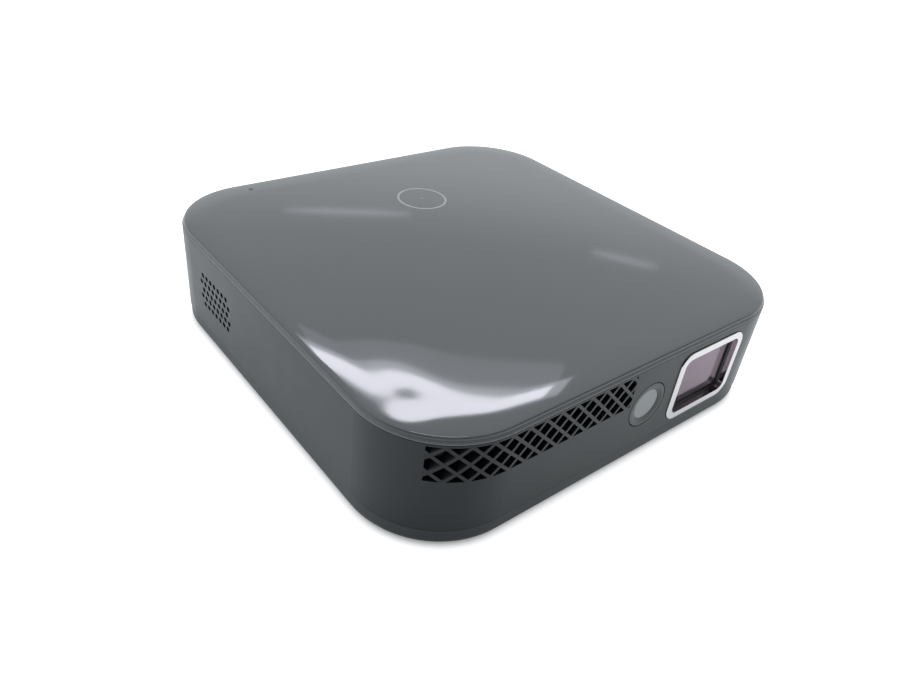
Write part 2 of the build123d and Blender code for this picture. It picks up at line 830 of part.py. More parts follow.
with BuildPart() as sensor_board:
    block(
        sensor_x - sensor_board_width / 2,
        sensor_x + sensor_board_width / 2,
        bezel_rear_y,
        bezel_rear_y + sensor_board_thickness,
        face_mid_z - sensor_board_height / 2,
        face_mid_z + sensor_board_height / 2,
    )
    rod_y(
        sensor_x, face_mid_z, lens_face_y + sensor_lens_thickness, bezel_rear_y, sensor_lens_radius / 2
    )
sensor_board.part.label = "sensor_board"
export_step(sensor_board.part, "parts/sensor_board.step")

# ---------------------------------------------------------------- speaker
# Foam gasket against the wall, frame, cone and magnet.
gasket_x = inner_left_x + gasket_thickness
frame_rear_x = gasket_x + speaker_frame_depth
with BuildPart() as speaker_gasket:
    with BuildSketch(facing_left(gasket_x, speaker_y, face_mid_z)):
        RectangleRounded(speaker_length, speaker_height, speaker_border)
        RectangleRounded(
            speaker_length - 2 * speaker_border,
            speaker_height - 2 * speaker_border,
            speaker_border / 2,
            mode=Mode.SUBTRACT,
        )
    extrude(amount=gasket_thickness)
speaker_gasket.part.label = "speaker_gasket"
export_step(speaker_gasket.part, "parts/speaker_gasket.step")

cone_length = speaker_length - 2 * speaker_border
cone_height = speaker_height - 2 * speaker_border
with BuildPart() as speaker_frame:
    with BuildSketch(facing_left(frame_rear_x, speaker_y, face_mid_z)):
        RectangleRounded(speaker_length, speaker_height, speaker_border)
    extrude(amount=speaker_frame_depth)
    with BuildSketch(facing_left(frame_rear_x - lip_wall, speaker_y, face_mid_z)):
        RectangleRounded(cone_length, cone_height, speaker_border / 2)
    extrude(amount=speaker_frame_depth, mode=Mode.SUBTRACT)
speaker_frame.part.label = "speaker_frame"
export_step(speaker_frame.part, "parts/speaker_frame.step")

cone_front_x = gasket_x + cone_thickness
cone_inner_radius = cone_height * cone_dome_share
with BuildPart() as speaker_cone:
    with BuildSketch(facing_left(cone_front_x, speaker_y, face_mid_z)):
        RectangleRounded(
            cone_length - 2 * touch_clearance, cone_height - 2 * touch_clearance, speaker_border / 2
        )
    extrude(amount=cone_thickness)
    with BuildSketch(facing_left(cone_front_x, speaker_y, face_mid_z)):
        Circle(cone_height / 2 - cone_thickness)
    extrude(amount=cone_thickness, mode=Mode.SUBTRACT)
    with BuildSketch(Plane(origin=(cone_front_x, speaker_y, face_mid_z), x_dir=(1, 0, 0), z_dir=(0, 0, 1))):
        with BuildLine():
            Polyline(
                (-cone_thickness, cone_height / 2),
                (0, cone_height / 2),
                (cone_depth, cone_inner_radius),
                (cone_depth, 0),
                (cone_depth - cone_thickness, 0),
                (cone_depth - cone_thickness, cone_inner_radius - cone_thickness),
                (-cone_thickness, cone_height / 2 - 2 * cone_thickness),
                close=True,
            )
        make_face()
    revolve(axis=Axis((0, speaker_y, face_mid_z), (1, 0, 0)), revolution_arc=360)
speaker_cone.part.label = "speaker_cone"
export_step(speaker_cone.part, "parts/speaker_cone.step")

with BuildPart() as speaker_magnet:
    rod_x(speaker_y, face_mid_z, frame_rear_x, frame_rear_x + magnet_depth, magnet_radius)
    fillet(speaker_magnet.faces().sort_by(Axis.X)[-1].edges(), magnet_depth / 10)
speaker_magnet.part.label = "speaker_magnet"
export_step(speaker_magnet.part, "parts/speaker_magnet.step")

# ---------------------------------------------------------------- blower
# Volute tray with the air intake below and the outlet towards the grille, a lid that carries the
# fixed shaft, and the rotor that hangs on it.
blower_left_x = blower_x - blower_half
blower_right_x = blower_x + blower_half
blower_front_y = blower_y - blower_half
blower_rear_y = blower_y + blower_half
blower_lid_z = blower_top_z - blower_wall
rotor_low_z = blower_low + blower_wall + rotor_clearance
rotor_top_z = blower_lid_z - rotor_clearance
clip_z = rotor_low_z - axial_gap
with BuildPart() as blower_housing:
    with BuildSketch(Plane.XY.offset(blower_low)):
        with Locations((blower_x, blower_y)):
            RectangleRounded(blower_side, blower_side, 2 * blower_wall)
    extrude(amount=blower_lid_z - blower_low)
    with BuildSketch(Plane.XY.offset(blower_low + blower_wall)):
        with Locations((blower_x, blower_y)):
            Circle(blower_half - blower_wall)
        with Locations((blower_x, blower_front_y + blower_half / 2)):
            Rectangle(blower_side - 2 * blower_wall, blower_half)
    extrude(amount=blower_lid_z - blower_low, mode=Mode.SUBTRACT)
    post([(blower_x, blower_y)], blower_intake_radius, blower_low, blower_lid_z, mode=Mode.SUBTRACT)
blower_housing.part.label = "blower_housing"
export_step(blower_housing.part, "parts/blower_housing.step")

with BuildPart() as blower_lid:
    with BuildSketch(Plane.XY.offset(blower_lid_z)):
        with Locations((blower_x, blower_y)):
            RectangleRounded(blower_side, blower_side, 2 * blower_wall)
    extrude(amount=blower_wall)
    post([(blower_x, blower_y)], rotor_hub_radius / 2, rotor_top_z + axial_gap, blower_lid_z)
    post([(blower_x, blower_y)], shaft_radius, clip_z - clip_thickness, blower_lid_z)
blower_lid.part.label = "blower_lid"
export_step(blower_lid.part, "parts/blower_lid.step")

with BuildPart() as blower_rotor:
    post([(blower_x, blower_y)], rotor_radius, rotor_top_z - rotor_plate, rotor_top_z)
    post([(blower_x, blower_y)], rotor_hub_radius, rotor_low_z, rotor_top_z)
    with BuildSketch(Plane.XY.offset(rotor_low_z)):
        with Locations((blower_x, blower_y)):
            with PolarLocations(rotor_radius - blade_length / 2, blade_count):
                Rectangle(blade_length, blade_thickness, rotation=blade_angle)
    extrude(amount=rotor_top_z - rotor_low_z - rotor_plate / 2)
    post([(blower_x, blower_y)], shaft_radius + running_gap, rotor_low_z, rotor_top_z, mode=Mode.SUBTRACT)
blower_rotor.part.label = "blower_rotor"
export_step(blower_rotor.part, "parts/blower_rotor.step")

with BuildPart() as rotor_clip:
    post([(blower_x, blower_y)], clip_radius, clip_z - clip_thickness, clip_z)
    post(
        [(blower_x, blower_y)],
        shaft_radius + touch_clearance,
        clip_z - clip_thickness,
        clip_z,
        mode=Mode.SUBTRACT,
    )
rotor_clip.part.label = "rotor_clip"
export_step(rotor_clip.part, "parts/rotor_clip.step")

# ---------------------------------------------------------------- heatsink and heat pipe
# Fins in the blower's outlet, behind the grille. The pipe runs under their base from the light engine.
with BuildPart() as heatsink:
    block(
        cooler_left_x, cooler_right_x, cooler_front_y, cooler_rear_y, cooler_low, cooler_low + cooler_base
    )
    with Locations((cooler_x, (cooler_front_y + cooler_rear_y) / 2, (cooler_low + cooler_top_z) / 2)):
        with GridLocations((cooler_length - fin_thickness) / (fin_count - 1), 0, fin_count, 1):
            Box(fin_thickness, cooler_depth, cooler_top_z - cooler_low)
heatsink.part.label = "heatsink"
export_step(heatsink.part, "parts/heatsink.step")

with BuildPart() as heat_pipe:
    with BuildLine() as pipe_path:
        FilletPolyline(
            (pipe_x, pipe_y + pipe_run, pipe_z),
            (pipe_x, pipe_y, pipe_z),
            (cooler_left_x + pipe_radius, pipe_y, pipe_z),
            radius=pipe_bend,
        )
    with BuildSketch(facing_front(pipe_y + pipe_run, pipe_x, pipe_z)):
        Circle(pipe_radius)
    sweep(path=pipe_path.line)
heat_pipe.part.label = "heat_pipe"
export_step(heat_pipe.part, "parts/heat_pipe.step")

# ---------------------------------------------------------------- light engine
# Die-cast box with the light port towards the lens, its lid and the optics in it.
cavity_left_x = engine_left_x + engine_wall
cavity_right_x = engine_right_x - engine_wall
cavity_front_y = engine_front_y + engine_wall
cavity_rear_y = engine_rear_y - engine_wall
cavity_low_z = engine_low + engine_wall
led_mid_y = (engine_front_y + engine_rear_y) / 2
with BuildPart() as engine_housing:
    block(engine_left_x, engine_right_x, engine_front_y, engine_rear_y, engine_low, engine_lid_z)
    fillet(engine_housing.edges().filter_by(Axis.Z), engine_wall)
    block(
        cavity_left_x,
        cavity_right_x,
        cavity_front_y,
        cavity_rear_y,
        cavity_low_z,
        engine_lid_z,
        mode=Mode.SUBTRACT,
    )
    rod_y(lens_x, lens_z, engine_front_y, cavity_front_y, light_port_radius, Mode.SUBTRACT)
    with Locations(((engine_left_x + cavity_left_x) / 2, led_mid_y, lens_z)):
        with GridLocations(0, led_pitch, 1, led_count):
            Box(2 * engine_wall, led_port_side, led_port_side, mode=Mode.SUBTRACT)
engine_housing.part.label = "engine_housing"
export_step(engine_housing.part, "parts/engine_housing.step")

with BuildPart() as engine_lid:
    block(engine_left_x, engine_right_x, engine_front_y, engine_rear_y, engine_lid_z, engine_top_z)
    fillet(engine_lid.edges().filter_by(Axis.Z), engine_wall)
engine_lid.part.label = "engine_lid"
export_step(engine_lid.part, "parts/engine_lid.step")

prism_front_y = cavity_front_y + light_port_radius
with BuildPart() as prism:
    block(
        lens_x - prism_side / 2,
        lens_x + prism_side / 2,
        prism_front_y,
        prism_front_y + prism_side,
        cavity_low_z,
        lens_z + prism_side / 2,
    )
prism.part.label = "prism"
export_step(prism.part, "parts/prism.step")

with BuildPart() as mirror_chip:
    block(
        lens_x - mirror_chip_side / 2,
        lens_x + mirror_chip_side / 2,
        prism_front_y + prism_side,
        prism_front_y + prism_side + mirror_chip_thickness,
        lens_z - mirror_chip_side / 2,
        lens_z + mirror_chip_side / 2,
    )
mirror_chip.part.label = "mirror_chip"
export_step(mirror_chip.part, "parts/mirror_chip.step")

with BuildPart() as chip_board:
    block(
        lens_x - mirror_chip_side,
        lens_x + mirror_chip_side,
        prism_front_y + prism_side + mirror_chip_thickness,
        prism_front_y + prism_side + mirror_chip_thickness + board_thickness,
        cavity_low_z,
        engine_lid_z,
    )
chip_board.part.label = "chip_board"
export_step(chip_board.part, "parts/chip_board.step")

with BuildPart() as fold_mirror:
    with BuildSketch(Plane.XY.offset(cavity_low_z)):
        with Locations((lens_x + prism_side + fold_mirror_length / 4, prism_front_y + prism_side / 2)):
            Rectangle(fold_mirror_length, fold_mirror_thickness, rotation=45.0)
    extrude(amount=prism_side)
fold_mirror.part.label = "fold_mirror"
export_step(fold_mirror.part, "parts/fold_mirror.step")

with BuildPart() as led_modules:
    with Locations((engine_left_x - led_thickness / 2, led_mid_y, lens_z)):
        with GridLocations(0, led_pitch, 1, led_count):
            Box(led_thickness, led_side, led_side)
led_modules.part.label = "led_modules"
export_step(led_modules.part, "parts/led_modules.step")

spreader_length = led_pitch * (led_count - 1) + led_side
with BuildPart() as heat_spreader:
    block(
        spreader_x,
        spreader_x + spreader_thickness,
        led_mid_y - spreader_length / 2,
        led_mid_y + spreader_length / 2,
        lens_z - spreader_height / 2,
        lens_z + spreader_height / 2,
    )
heat_spreader.part.label = "heat_spreader"
export_step(heat_spreader.part, "parts/heat_spreader.step")

# ---------------------------------------------------------------- lens
# Fixed sleeve on the engine's front, with a shoulder for the focus ring. The cell slides in it.
shoulder_rear_y = gear_rear_y + axial_gap + shoulder_length
sleeve_front_y = cell_front_y + lens_sag
retainer_rear_y = gear_front_y - axial_gap
with BuildPart() as lens_sleeve:
    rod_y(lens_x, lens_z, sleeve_front_y, engine_front_y, sleeve_radius)
    rod_y(lens_x, lens_z, gear_rear_y + axial_gap, shoulder_rear_y, sleeve_radius + retainer_rim)
    rod_y(lens_x, lens_z, engine_front_y - sleeve_flange_thickness, engine_front_y, sleeve_flange_radius)
    rod_y(lens_x, lens_z, sleeve_front_y, engine_front_y, sleeve_bore, Mode.SUBTRACT)
lens_sleeve.part.label = "lens_sleeve"
export_step(lens_sleeve.part, "parts/lens_sleeve.step")

with BuildPart() as lens_cell:
    rod_y(lens_x, lens_z, cell_front_y, cell_front_y + cell_length, cell_radius)
    chamfer(lens_cell.faces().sort_by(Axis.Y)[0].edges(), running_gap * 5)
    rod_y(lens_x, lens_z, cell_front_y, cell_front_y + cell_length, cell_radius - cell_wall, Mode.SUBTRACT)
lens_cell.part.label = "lens_cell"
export_step(lens_cell.part, "parts/lens_cell.step")


def lens_profile(front):
    """Half section of a lens with a domed front, in the plane of its axis."""
    radius = cell_radius - cell_wall - touch_clearance
    sphere = (radius**2 + lens_sag**2) / (2 * lens_sag)
    middle = (radius / 2, sphere - sqrt(sphere**2 - radius**2 / 4))
    with BuildSketch(Plane(origin=(lens_x, front, lens_z), x_dir=(1, 0, 0), z_dir=(0, 0, 1))) as section:
        with BuildLine():
            Line((0, 0), (0, lens_thickness))
            Line((0, lens_thickness), (radius, lens_thickness))
            Line((radius, lens_thickness), (radius, lens_sag))
            ThreePointArc((radius, lens_sag), middle, (0, 0))
        make_face()
    return section.sketch


with BuildPart() as front_lens:
    revolve(
        lens_profile(cell_front_y + lens_sag), axis=Axis((lens_x, 0, lens_z), (0, 1, 0)), revolution_arc=360
    )
front_lens.part.label = "front_lens"
export_step(front_lens.part, "parts/front_lens.step")

with BuildPart() as rear_lens:
    revolve(
        lens_profile(cell_front_y + cell_length - cell_rear_gap),
        axis=Axis((lens_x, 0, lens_z), (0, 1, 0)),
        revolution_arc=360,
    )
rear_lens.part.label = "rear_lens"
export_step(rear_lens.part, "parts/rear_lens.step")

# ---------------------------------------------------------------- focus train
# Wheel in the right wall, idler, and the toothed ring that drives the cell.
with BuildPart() as focus_ring:
    extrude(gear_profile(gear_rear_y, lens_x, lens_z, ring_teeth, 0.0), amount=gear_width)
    rod_y(lens_x, lens_z, gear_front_y, gear_rear_y, sleeve_radius + running_gap, Mode.SUBTRACT)
focus_ring.part.label = "focus_ring"
export_step(focus_ring.part, "parts/focus_ring.step")

with BuildPart() as retaining_ring:
    rod_y(
        lens_x, lens_z, retainer_rear_y - retainer_thickness, retainer_rear_y, sleeve_radius + retainer_rim
    )
    rod_y(
        lens_x,
        lens_z,
        retainer_rear_y - retainer_thickness,
        retainer_rear_y,
        sleeve_radius + touch_clearance,
        Mode.SUBTRACT,
    )
retaining_ring.part.label = "retaining_ring"
export_step(retaining_ring.part, "parts/retaining_ring.step")

with BuildPart() as idler_gear:
    extrude(
        gear_profile(gear_rear_y, idler_x, lens_z, idler_teeth, 180.0 / idler_teeth), amount=gear_width
    )
    rod_y(idler_x, lens_z, gear_front_y, gear_rear_y, pin_radius + running_gap, Mode.SUBTRACT)
idler_gear.part.label = "idler_gear"
export_step(idler_gear.part, "parts/idler_gear.step")

notch_half = radians(360.0 / wheel_notches / 3)
wheel_neck_radius = gear_module * (pinion_teeth / 2 - tooth_dedendum)
with BuildPart() as focus_wheel:
    rod_y(wheel_x, lens_z, rim_front_y, rim_rear_y, wheel_radius)
    with BuildSketch(facing_front(rim_rear_y, wheel_x, lens_z)):
        with PolarLocations(wheel_radius, wheel_notches):
            Polygon(
                (wheel_notch_depth, wheel_radius * notch_half),
                (-wheel_notch_depth, 0),
                (wheel_notch_depth, -wheel_radius * notch_half),
                align=None,
            )
    extrude(amount=wheel_rim_width, mode=Mode.SUBTRACT)
    rod_y(wheel_x, lens_z, rim_rear_y - axial_gap, gear_front_y + axial_gap, wheel_neck_radius)
    extrude(gear_profile(gear_rear_y, wheel_x, lens_z, pinion_teeth, 0.0), amount=gear_width)
    rod_y(wheel_x, lens_z, rim_front_y, gear_rear_y, pin_radius + running_gap, Mode.SUBTRACT)
focus_wheel.part.label = "focus_wheel"
export_step(focus_wheel.part, "parts/focus_wheel.step")

# Plate on two legs that stand on the engine's front, and the two pins fixed in it. The head holds
# the wheel, and the wheel's rim holds the idler.
bracket_left_x = idler_x - pin_head_radius - bracket_leg / 2
bracket_right_x = wheel_x + bracket_leg
with BuildPart() as gear_bracket:
    block(
        bracket_left_x,
        bracket_right_x,
        bracket_front_y,
        bracket_rear_y,
        lens_z - bracket_height / 2,
        lens_z + bracket_height / 2,
    )
    for leg_x in (bracket_left_x, engine_right_x - bracket_leg):
        block(
            leg_x,
            leg_x + bracket_leg,
            bracket_rear_y - bracket_thickness / 2,
            engine_front_y,
            lens_z - bracket_height / 2,
            lens_z + bracket_height / 2,
        )
    for pin_x in (idler_x, wheel_x):
        rod_y(pin_x, lens_z, bracket_front_y, bracket_rear_y, pin_radius + touch_clearance, Mode.SUBTRACT)
gear_bracket.part.label = "gear_bracket"
export_step(gear_bracket.part, "parts/gear_bracket.step")

pin_head_y = rim_front_y - axial_gap
with BuildPart() as gear_pins:
    rod_y(idler_x, lens_z, gear_front_y, bracket_rear_y, pin_radius)
    rod_y(wheel_x, lens_z, pin_head_y - pin_head_height, bracket_rear_y, pin_radius)
    rod_y(wheel_x, lens_z, pin_head_y - pin_head_height, pin_head_y, pin_head_radius)
gear_pins.part.label = "gear_pins"
export_step(gear_pins.part, "parts/gear_pins.step")

# ---------------------------------------------------------------- main board
# Board on four posts, its screws, the processor's shield and smaller chips.
with BuildPart() as main_board:
    block(-board_width / 2, board_width / 2, board_front_y, board_rear_y, board_low, board_top_z)
    post(
        board_posts, screw_shank_radius + screw_pass_clearance, board_low, board_top_z, mode=Mode.SUBTRACT
    )
main_board.part.label = "main_board"
export_step(main_board.part, "parts/main_board.step")

with BuildPart() as board_screws:
    post(board_posts, screw_shank_radius, board_low - board_screw_head_radius * 2, board_top_z)
    post(board_posts, board_screw_head_radius, board_top_z, board_top_z + board_screw_head_height)
    fillet(board_screws.faces().group_by(Axis.Z)[-1].edges(), board_screw_head_height / 3)
board_screws.part.label = "board_screws"
export_step(board_screws.part, "parts/board_screws.step")

shield_y = board_front_y + shield_depth / 2 + shell_thickness
with BuildPart() as processor_shield:
    block(
        usb_x - shield_width / 2,
        usb_x + shield_width / 2,
        shield_y - shield_depth / 2,
        shield_y + shield_depth / 2,
        board_top_z,
        board_top_z + shield_height,
    )
    fillet(processor_shield.edges().filter_by(Axis.Z), shell_thickness * 2)
    block(
        usb_x - shield_width / 2 + shell_thickness,
        usb_x + shield_width / 2 - shell_thickness,
        shield_y - shield_depth / 2 + shell_thickness,
        shield_y + shield_depth / 2 - shell_thickness,
        board_top_z,
        board_top_z + shield_height - shell_thickness,
        mode=Mode.SUBTRACT,
    )
processor_shield.part.label = "processor_shield"
export_step(processor_shield.part, "parts/processor_shield.step")

with BuildPart() as chips:
    with Locations((chips_x, shield_y, board_top_z + chip_height / 2)):
        with GridLocations(chip_pitch, 0, 4, 1):
            Box(chip_side, chip_side, chip_height)
chips.part.label = "chips"
export_step(chips.part, "parts/chips.step")


# ---------------------------------------------------------------- sockets
# Stamped shells on the board with their tongues, behind the rear wall.
def socket(x, shell_width, shell_height, length, tongue_thickness, tongue_z, mouth_z):
    """Open-fronted rectangular shell with a contact tongue inside."""
    inner = shell_width / 2 - shell_thickness
    block(
        x - shell_width / 2, x + shell_width / 2, inner_rear_y - length, inner_rear_y, board_top_z, mouth_z
    )
    block(
        x - inner,
        x + inner,
        inner_rear_y - length + shell_thickness,
        inner_rear_y,
        board_top_z + shell_thickness,
        board_top_z + shell_height - shell_thickness,
        mode=Mode.SUBTRACT,
    )
    block(
        x - inner * tongue_share,
        x + inner * tongue_share,
        inner_rear_y - length + shell_thickness / 2,
        inner_rear_y - shell_thickness,
        tongue_z - tongue_thickness / 2,
        tongue_z + tongue_thickness / 2,
    )


with BuildPart() as usb_socket:
    socket(
        usb_x,
        usb_width,
        usb_height,
        usb_length,
        usb_tongue,
        board_top_z + usb_height * usb_tongue_share,
        board_top_z + usb_height,
    )
usb_socket.part.label = "usb_socket"
export_step(usb_socket.part, "parts/usb_socket.step")

with BuildPart() as hdmi_socket:
    socket(
        hdmi_x,
        hdmi_width,
        hdmi_height,
        hdmi_length,
        hdmi_tongue,
        board_top_z + hdmi_height / 2,
        board_top_z + hdmi_height,
    )
hdmi_socket.part.label = "hdmi_socket"
export_step(hdmi_socket.part, "parts/hdmi_socket.step")

with BuildPart() as audio_jack:
    block(
        audio_x - audio_body / 2,
        audio_x + audio_body / 2,
        inner_rear_y - audio_length,
        inner_rear_y,
        board_top_z,
        board_top_z + audio_body,
    )
    rod_y(
        audio_x,
        board_top_z + audio_body / 2,
        inner_rear_y - audio_bore_depth,
        inner_rear_y,
        audio_bore_radius,
        Mode.SUBTRACT,
    )
audio_jack.part.label = "audio_jack"
export_step(audio_jack.part, "parts/audio_jack.step")

with BuildPart() as dc_jack:
    block(
        dc_x - dc_body / 2,
        dc_x + dc_body / 2,
        inner_rear_y - dc_length,
        inner_rear_y,
        board_top_z,
        board_top_z + dc_body,
    )
    rod_y(
        dc_x,
        board_top_z + dc_body / 2,
        inner_rear_y - dc_bore_depth,
        inner_rear_y,
        dc_bore_radius,
        Mode.SUBTRACT,
    )
    rod_y(
        dc_x,
        board_top_z + dc_body / 2,
        inner_rear_y - dc_bore_depth - shell_thickness,
        inner_rear_y - shell_thickness,
        dc_pin_radius,
    )
dc_jack.part.label = "dc_jack"
export_step(dc_jack.part, "parts/dc_jack.step")

with BuildPart() as card_socket:
    block(
        card_x - card_width / 2,
        card_x + card_width / 2,
        inner_rear_y - card_length,
        inner_rear_y,
        board_top_z,
        board_top_z + card_height,
    )
    block(
        card_x - card_width / 2 + 2 * shell_thickness,
        card_x + card_width / 2 - 2 * shell_thickness,
        inner_rear_y - card_length + shell_thickness,
        inner_rear_y,
        board_top_z + shell_thickness,
        board_top_z + shell_thickness + card_gap_height,
        mode=Mode.SUBTRACT,
    )
card_socket.part.label = "card_socket"
export_step(card_socket.part, "parts/card_socket.step")

# ---------------------------------------------------------------- power switch
# Slide switch: a body with a channel, and the slider whose knob comes through the wall.
switch_body_front_y = inner_rear_y - switch_body_depth
channel_half_width = (switch_knob_width + switch_travel) / 2 + switch_gap
with BuildPart() as switch_body:
    block(
        switch_x - switch_body_width / 2,
        switch_x + switch_body_width / 2,
        switch_body_front_y,
        inner_rear_y,
        board_top_z,
        board_top_z + switch_body_height,
    )
    block(
        switch_x - channel_half_width,
        switch_x + channel_half_width,
        switch_body_front_y + switch_body_depth / 2,
        inner_rear_y,
        switch_mid_z - switch_knob_height / 2 - running_gap,
        switch_mid_z + switch_knob_height / 2 + running_gap,
        mode=Mode.SUBTRACT,
    )
switch_body.part.label = "switch_body"
export_step(switch_body.part, "parts/switch_body.step")

slider_x = switch_x - switch_travel / 2
with BuildPart() as switch_slider:
    block(
        slider_x - switch_knob_width / 2,
        slider_x + switch_knob_width / 2,
        switch_body_front_y + switch_body_depth / 2 + running_gap,
        rear_y + switch_knob_proud,
        switch_mid_z - switch_knob_height / 2,
        switch_mid_z + switch_knob_height / 2,
    )
    fillet(switch_slider.faces().sort_by(Axis.Y)[-1].edges(), switch_gap)
switch_slider.part.label = "switch_slider"
export_step(switch_slider.part, "parts/switch_slider.step")

# ---------------------------------------------------------------- battery and antenna
# Flat pack taped to the floor under the board, and the radio antenna on the right wall.
battery_y = board_y
with BuildPart() as battery_pack:
    with BuildSketch(Plane.XY.offset(floor_z)):
        with Locations((0, battery_y)):
            RectangleRounded(battery_width, battery_depth, battery_corner)
    extrude(amount=battery_thickness)
battery_pack.part.label = "battery_pack"
export_step(battery_pack.part, "parts/battery_pack.step")

antenna_y = (board_rear_y + engine_front_y) / 2
with BuildPart() as radio_antenna:
    block(
        inner_right_x - antenna_thickness,
        inner_right_x,
        antenna_y - antenna_length / 2,
        antenna_y + antenna_length / 2,
        face_mid_z - antenna_height / 2,
        face_mid_z + antenna_height / 2,
    )
radio_antenna.part.label = "radio_antenna"
export_step(radio_antenna.part, "parts/radio_antenna.step")
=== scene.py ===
"""Looks of a palm-size square projector with a glossy lid, a diamond grille and a chrome window.

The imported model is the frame: metres, +Z up, the feet stand on z = 0, the window faces -Y and the
speaker holes face -X. Sizes here are millimetres, and each mesh is scaled to metres once.
"""

import math
import random

import bmesh
import bpy
from mathutils import Matrix, Quaternion, Vector, noise


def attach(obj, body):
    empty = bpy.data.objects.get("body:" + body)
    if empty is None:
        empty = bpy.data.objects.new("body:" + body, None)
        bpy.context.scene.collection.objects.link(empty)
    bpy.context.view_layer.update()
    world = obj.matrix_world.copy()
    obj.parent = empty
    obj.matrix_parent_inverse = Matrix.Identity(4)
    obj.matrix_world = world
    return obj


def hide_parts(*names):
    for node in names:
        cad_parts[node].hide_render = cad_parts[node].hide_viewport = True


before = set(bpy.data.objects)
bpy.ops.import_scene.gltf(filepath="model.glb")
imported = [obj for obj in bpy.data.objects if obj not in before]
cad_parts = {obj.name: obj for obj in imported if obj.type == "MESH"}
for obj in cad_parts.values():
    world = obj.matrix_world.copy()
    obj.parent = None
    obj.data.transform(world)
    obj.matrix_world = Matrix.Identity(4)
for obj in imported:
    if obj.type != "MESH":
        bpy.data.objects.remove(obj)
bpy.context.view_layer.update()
mm = 0.001

# ---------------------------------------------------------------- camera
# A phone camera held over the front-left corner, close to the case and slightly rolled. It looks
# down on the lid, along the front wall's grille and the left wall.
camera_target = Vector((-8.86, -5.16, 5.6)) * mm
camera_distance = 245.1 * mm
camera_azimuth = math.radians(-41.8722)
camera_elevation = math.radians(34.1682)
camera_roll = math.radians(6.8729)
camera_lens = 30.015
camera_sensor = 36.0
camera_near = 10 * mm
camera_far = 20.0

camera_back = Vector(
    (
        math.sin(camera_azimuth) * math.cos(camera_elevation),
        -math.cos(camera_azimuth) * math.cos(camera_elevation),
        math.sin(camera_elevation),
    )
)
level_right = Vector((0, 0, 1)).cross(camera_back).normalized()
level_up = camera_back.cross(level_right)
camera_right = math.cos(camera_roll) * level_right + math.sin(camera_roll) * level_up
camera_up = math.cos(camera_roll) * level_up - math.sin(camera_roll) * level_right
camera = bpy.data.objects.new("camera", bpy.data.cameras.new("camera"))
camera.data.lens = camera_lens
camera.data.sensor_width = camera_sensor
camera.data.clip_start = camera_near
camera.data.clip_end = camera_far
camera.matrix_world = Matrix.Translation(camera_target + camera_back * camera_distance) @ (
    Matrix((camera_right, camera_up, camera_back)).transposed().to_4x4()
)
bpy.context.scene.collection.objects.link(camera)
bpy.context.scene.camera = camera
bpy.context.scene.view_settings.view_transform = "Standard"

# ---------------------------------------------------------------- table and light
# White table in a white room, less lit at the corner nearest the camera. Its glow carries painted
# shade near that corner where the case mirrors it, and a painted contact shadow round the case where
# the camera sees it. A bright window and two ceiling tubes show in the glossy lid. Table half side,
# lamp sizes and distance are in metres.
table_half = 3.0
table_colour = (0.85, 0.87, 0.89, 1.0)
table_mirrored_colour = (0.92, 1.0, 1.0, 1.0)
table_shade_place = Vector((-62.0, -98.0, 0.0))
table_shade_reach = 66.0
table_shade_share = 0.45
table_glow_mirrored = 0.52
table_glow = 0.86
table_contact_half = 73.0
table_contact_corner = 26.5
table_contact_start = -4.0
table_contact_end = 1.3
room_colour = (0.97, 1.0, 1.03, 1.0)
room_level = 0.95
room_low_level = 1.35
room_low_end = math.sin(math.radians(21.5))
room_high_start = math.sin(math.radians(27.5))
background_level = 1.04
# direction, facing where the shade starts and where it is full, and the share left there
dark_places = (
    (Vector((-0.60, -0.66, 0.45)).normalized(), 0.25, 0.92, 0.1),
    (Vector((0.55, -0.62, 0.56)).normalized(), 0.87, 0.975, 0.06),
)
lamp_distance = 1.5
# shape, azimuth, elevation, width, height, turn, radiance and colour
lamps = {
    "window_light": ("RECTANGLE", 51.18, 42.89, 0.66, 0.070, 1.25, 8.0, (0.96, 0.95, 1.05)),
    "blind_light": ("RECTANGLE", 51.18, 42.70, 0.75, 0.105, 1.25, 3.0, (0.95, 0.96, 1.06)),
    "sill_light": ("RECTANGLE", 51.18, 39.6, 0.66, 0.075, 1.25, 0.7, (0.95, 0.96, 1.06)),
    "rear_tube": ("ELLIPSE", 59.4, 26.2, 0.29, 0.009, 0.0, 1.55, (0.95, 0.96, 1.06)),
    "side_tube": ("ELLIPSE", 32.45, 27.0, 0.155, 0.009, 0.0, 1.55, (0.95, 0.96, 1.06)),
    "ceiling_light": ("RECTANGLE", 51.0, 76.0, 0.50, 0.10, 0.0, 26.0, (1.0, 1.0, 1.0)),
}
corners = ((-1, -1), (1, -1), (1, 1), (-1, 1))


def scene_object(name, mesh):
    """New object in the scene that holds the mesh."""
    made = bpy.data.objects.new(name, mesh)
    bpy.context.scene.collection.objects.link(made)
    return made


def node(tree, kind, inputs=(), settings=()):
    """New node in a tree. An input is a value, an output, or a node whose first output feeds it."""
    made = tree.nodes.new(kind)
    for name, value in dict(settings).items():
        setattr(made, name, value)
    for name, value in dict(inputs).items():
        if isinstance(value, bpy.types.Node):
            value = value.outputs[0]
        if isinstance(value, bpy.types.NodeSocket):
            tree.links.new(value, made.inputs[name])
        else:
            made.inputs[name].default_value = value
    return made


def maths(tree, operation, *values):
    """Node that does a sum with numbers."""
    return node(tree, "ShaderNodeMath", dict(enumerate(values)), {"operation": operation})


def vector_maths(tree, operation, *values):
    """Node that does a sum with vectors. A number comes out at Value."""
    return node(tree, "ShaderNodeVectorMath", dict(enumerate(values)), {"operation": operation})


def ranged(tree, value, start, end, kind="SMOOTHSTEP"):
    """Output that passes from one level to another. Start and end are each (value, level)."""
    levels = {
        "Value": value,
        "From Min": start[0],
        "From Max": end[0],
        "To Min": start[1],
        "To Max": end[1],
    }
    return node(tree, "ShaderNodeMapRange", levels, {"interpolation_type": kind}).outputs["Result"]


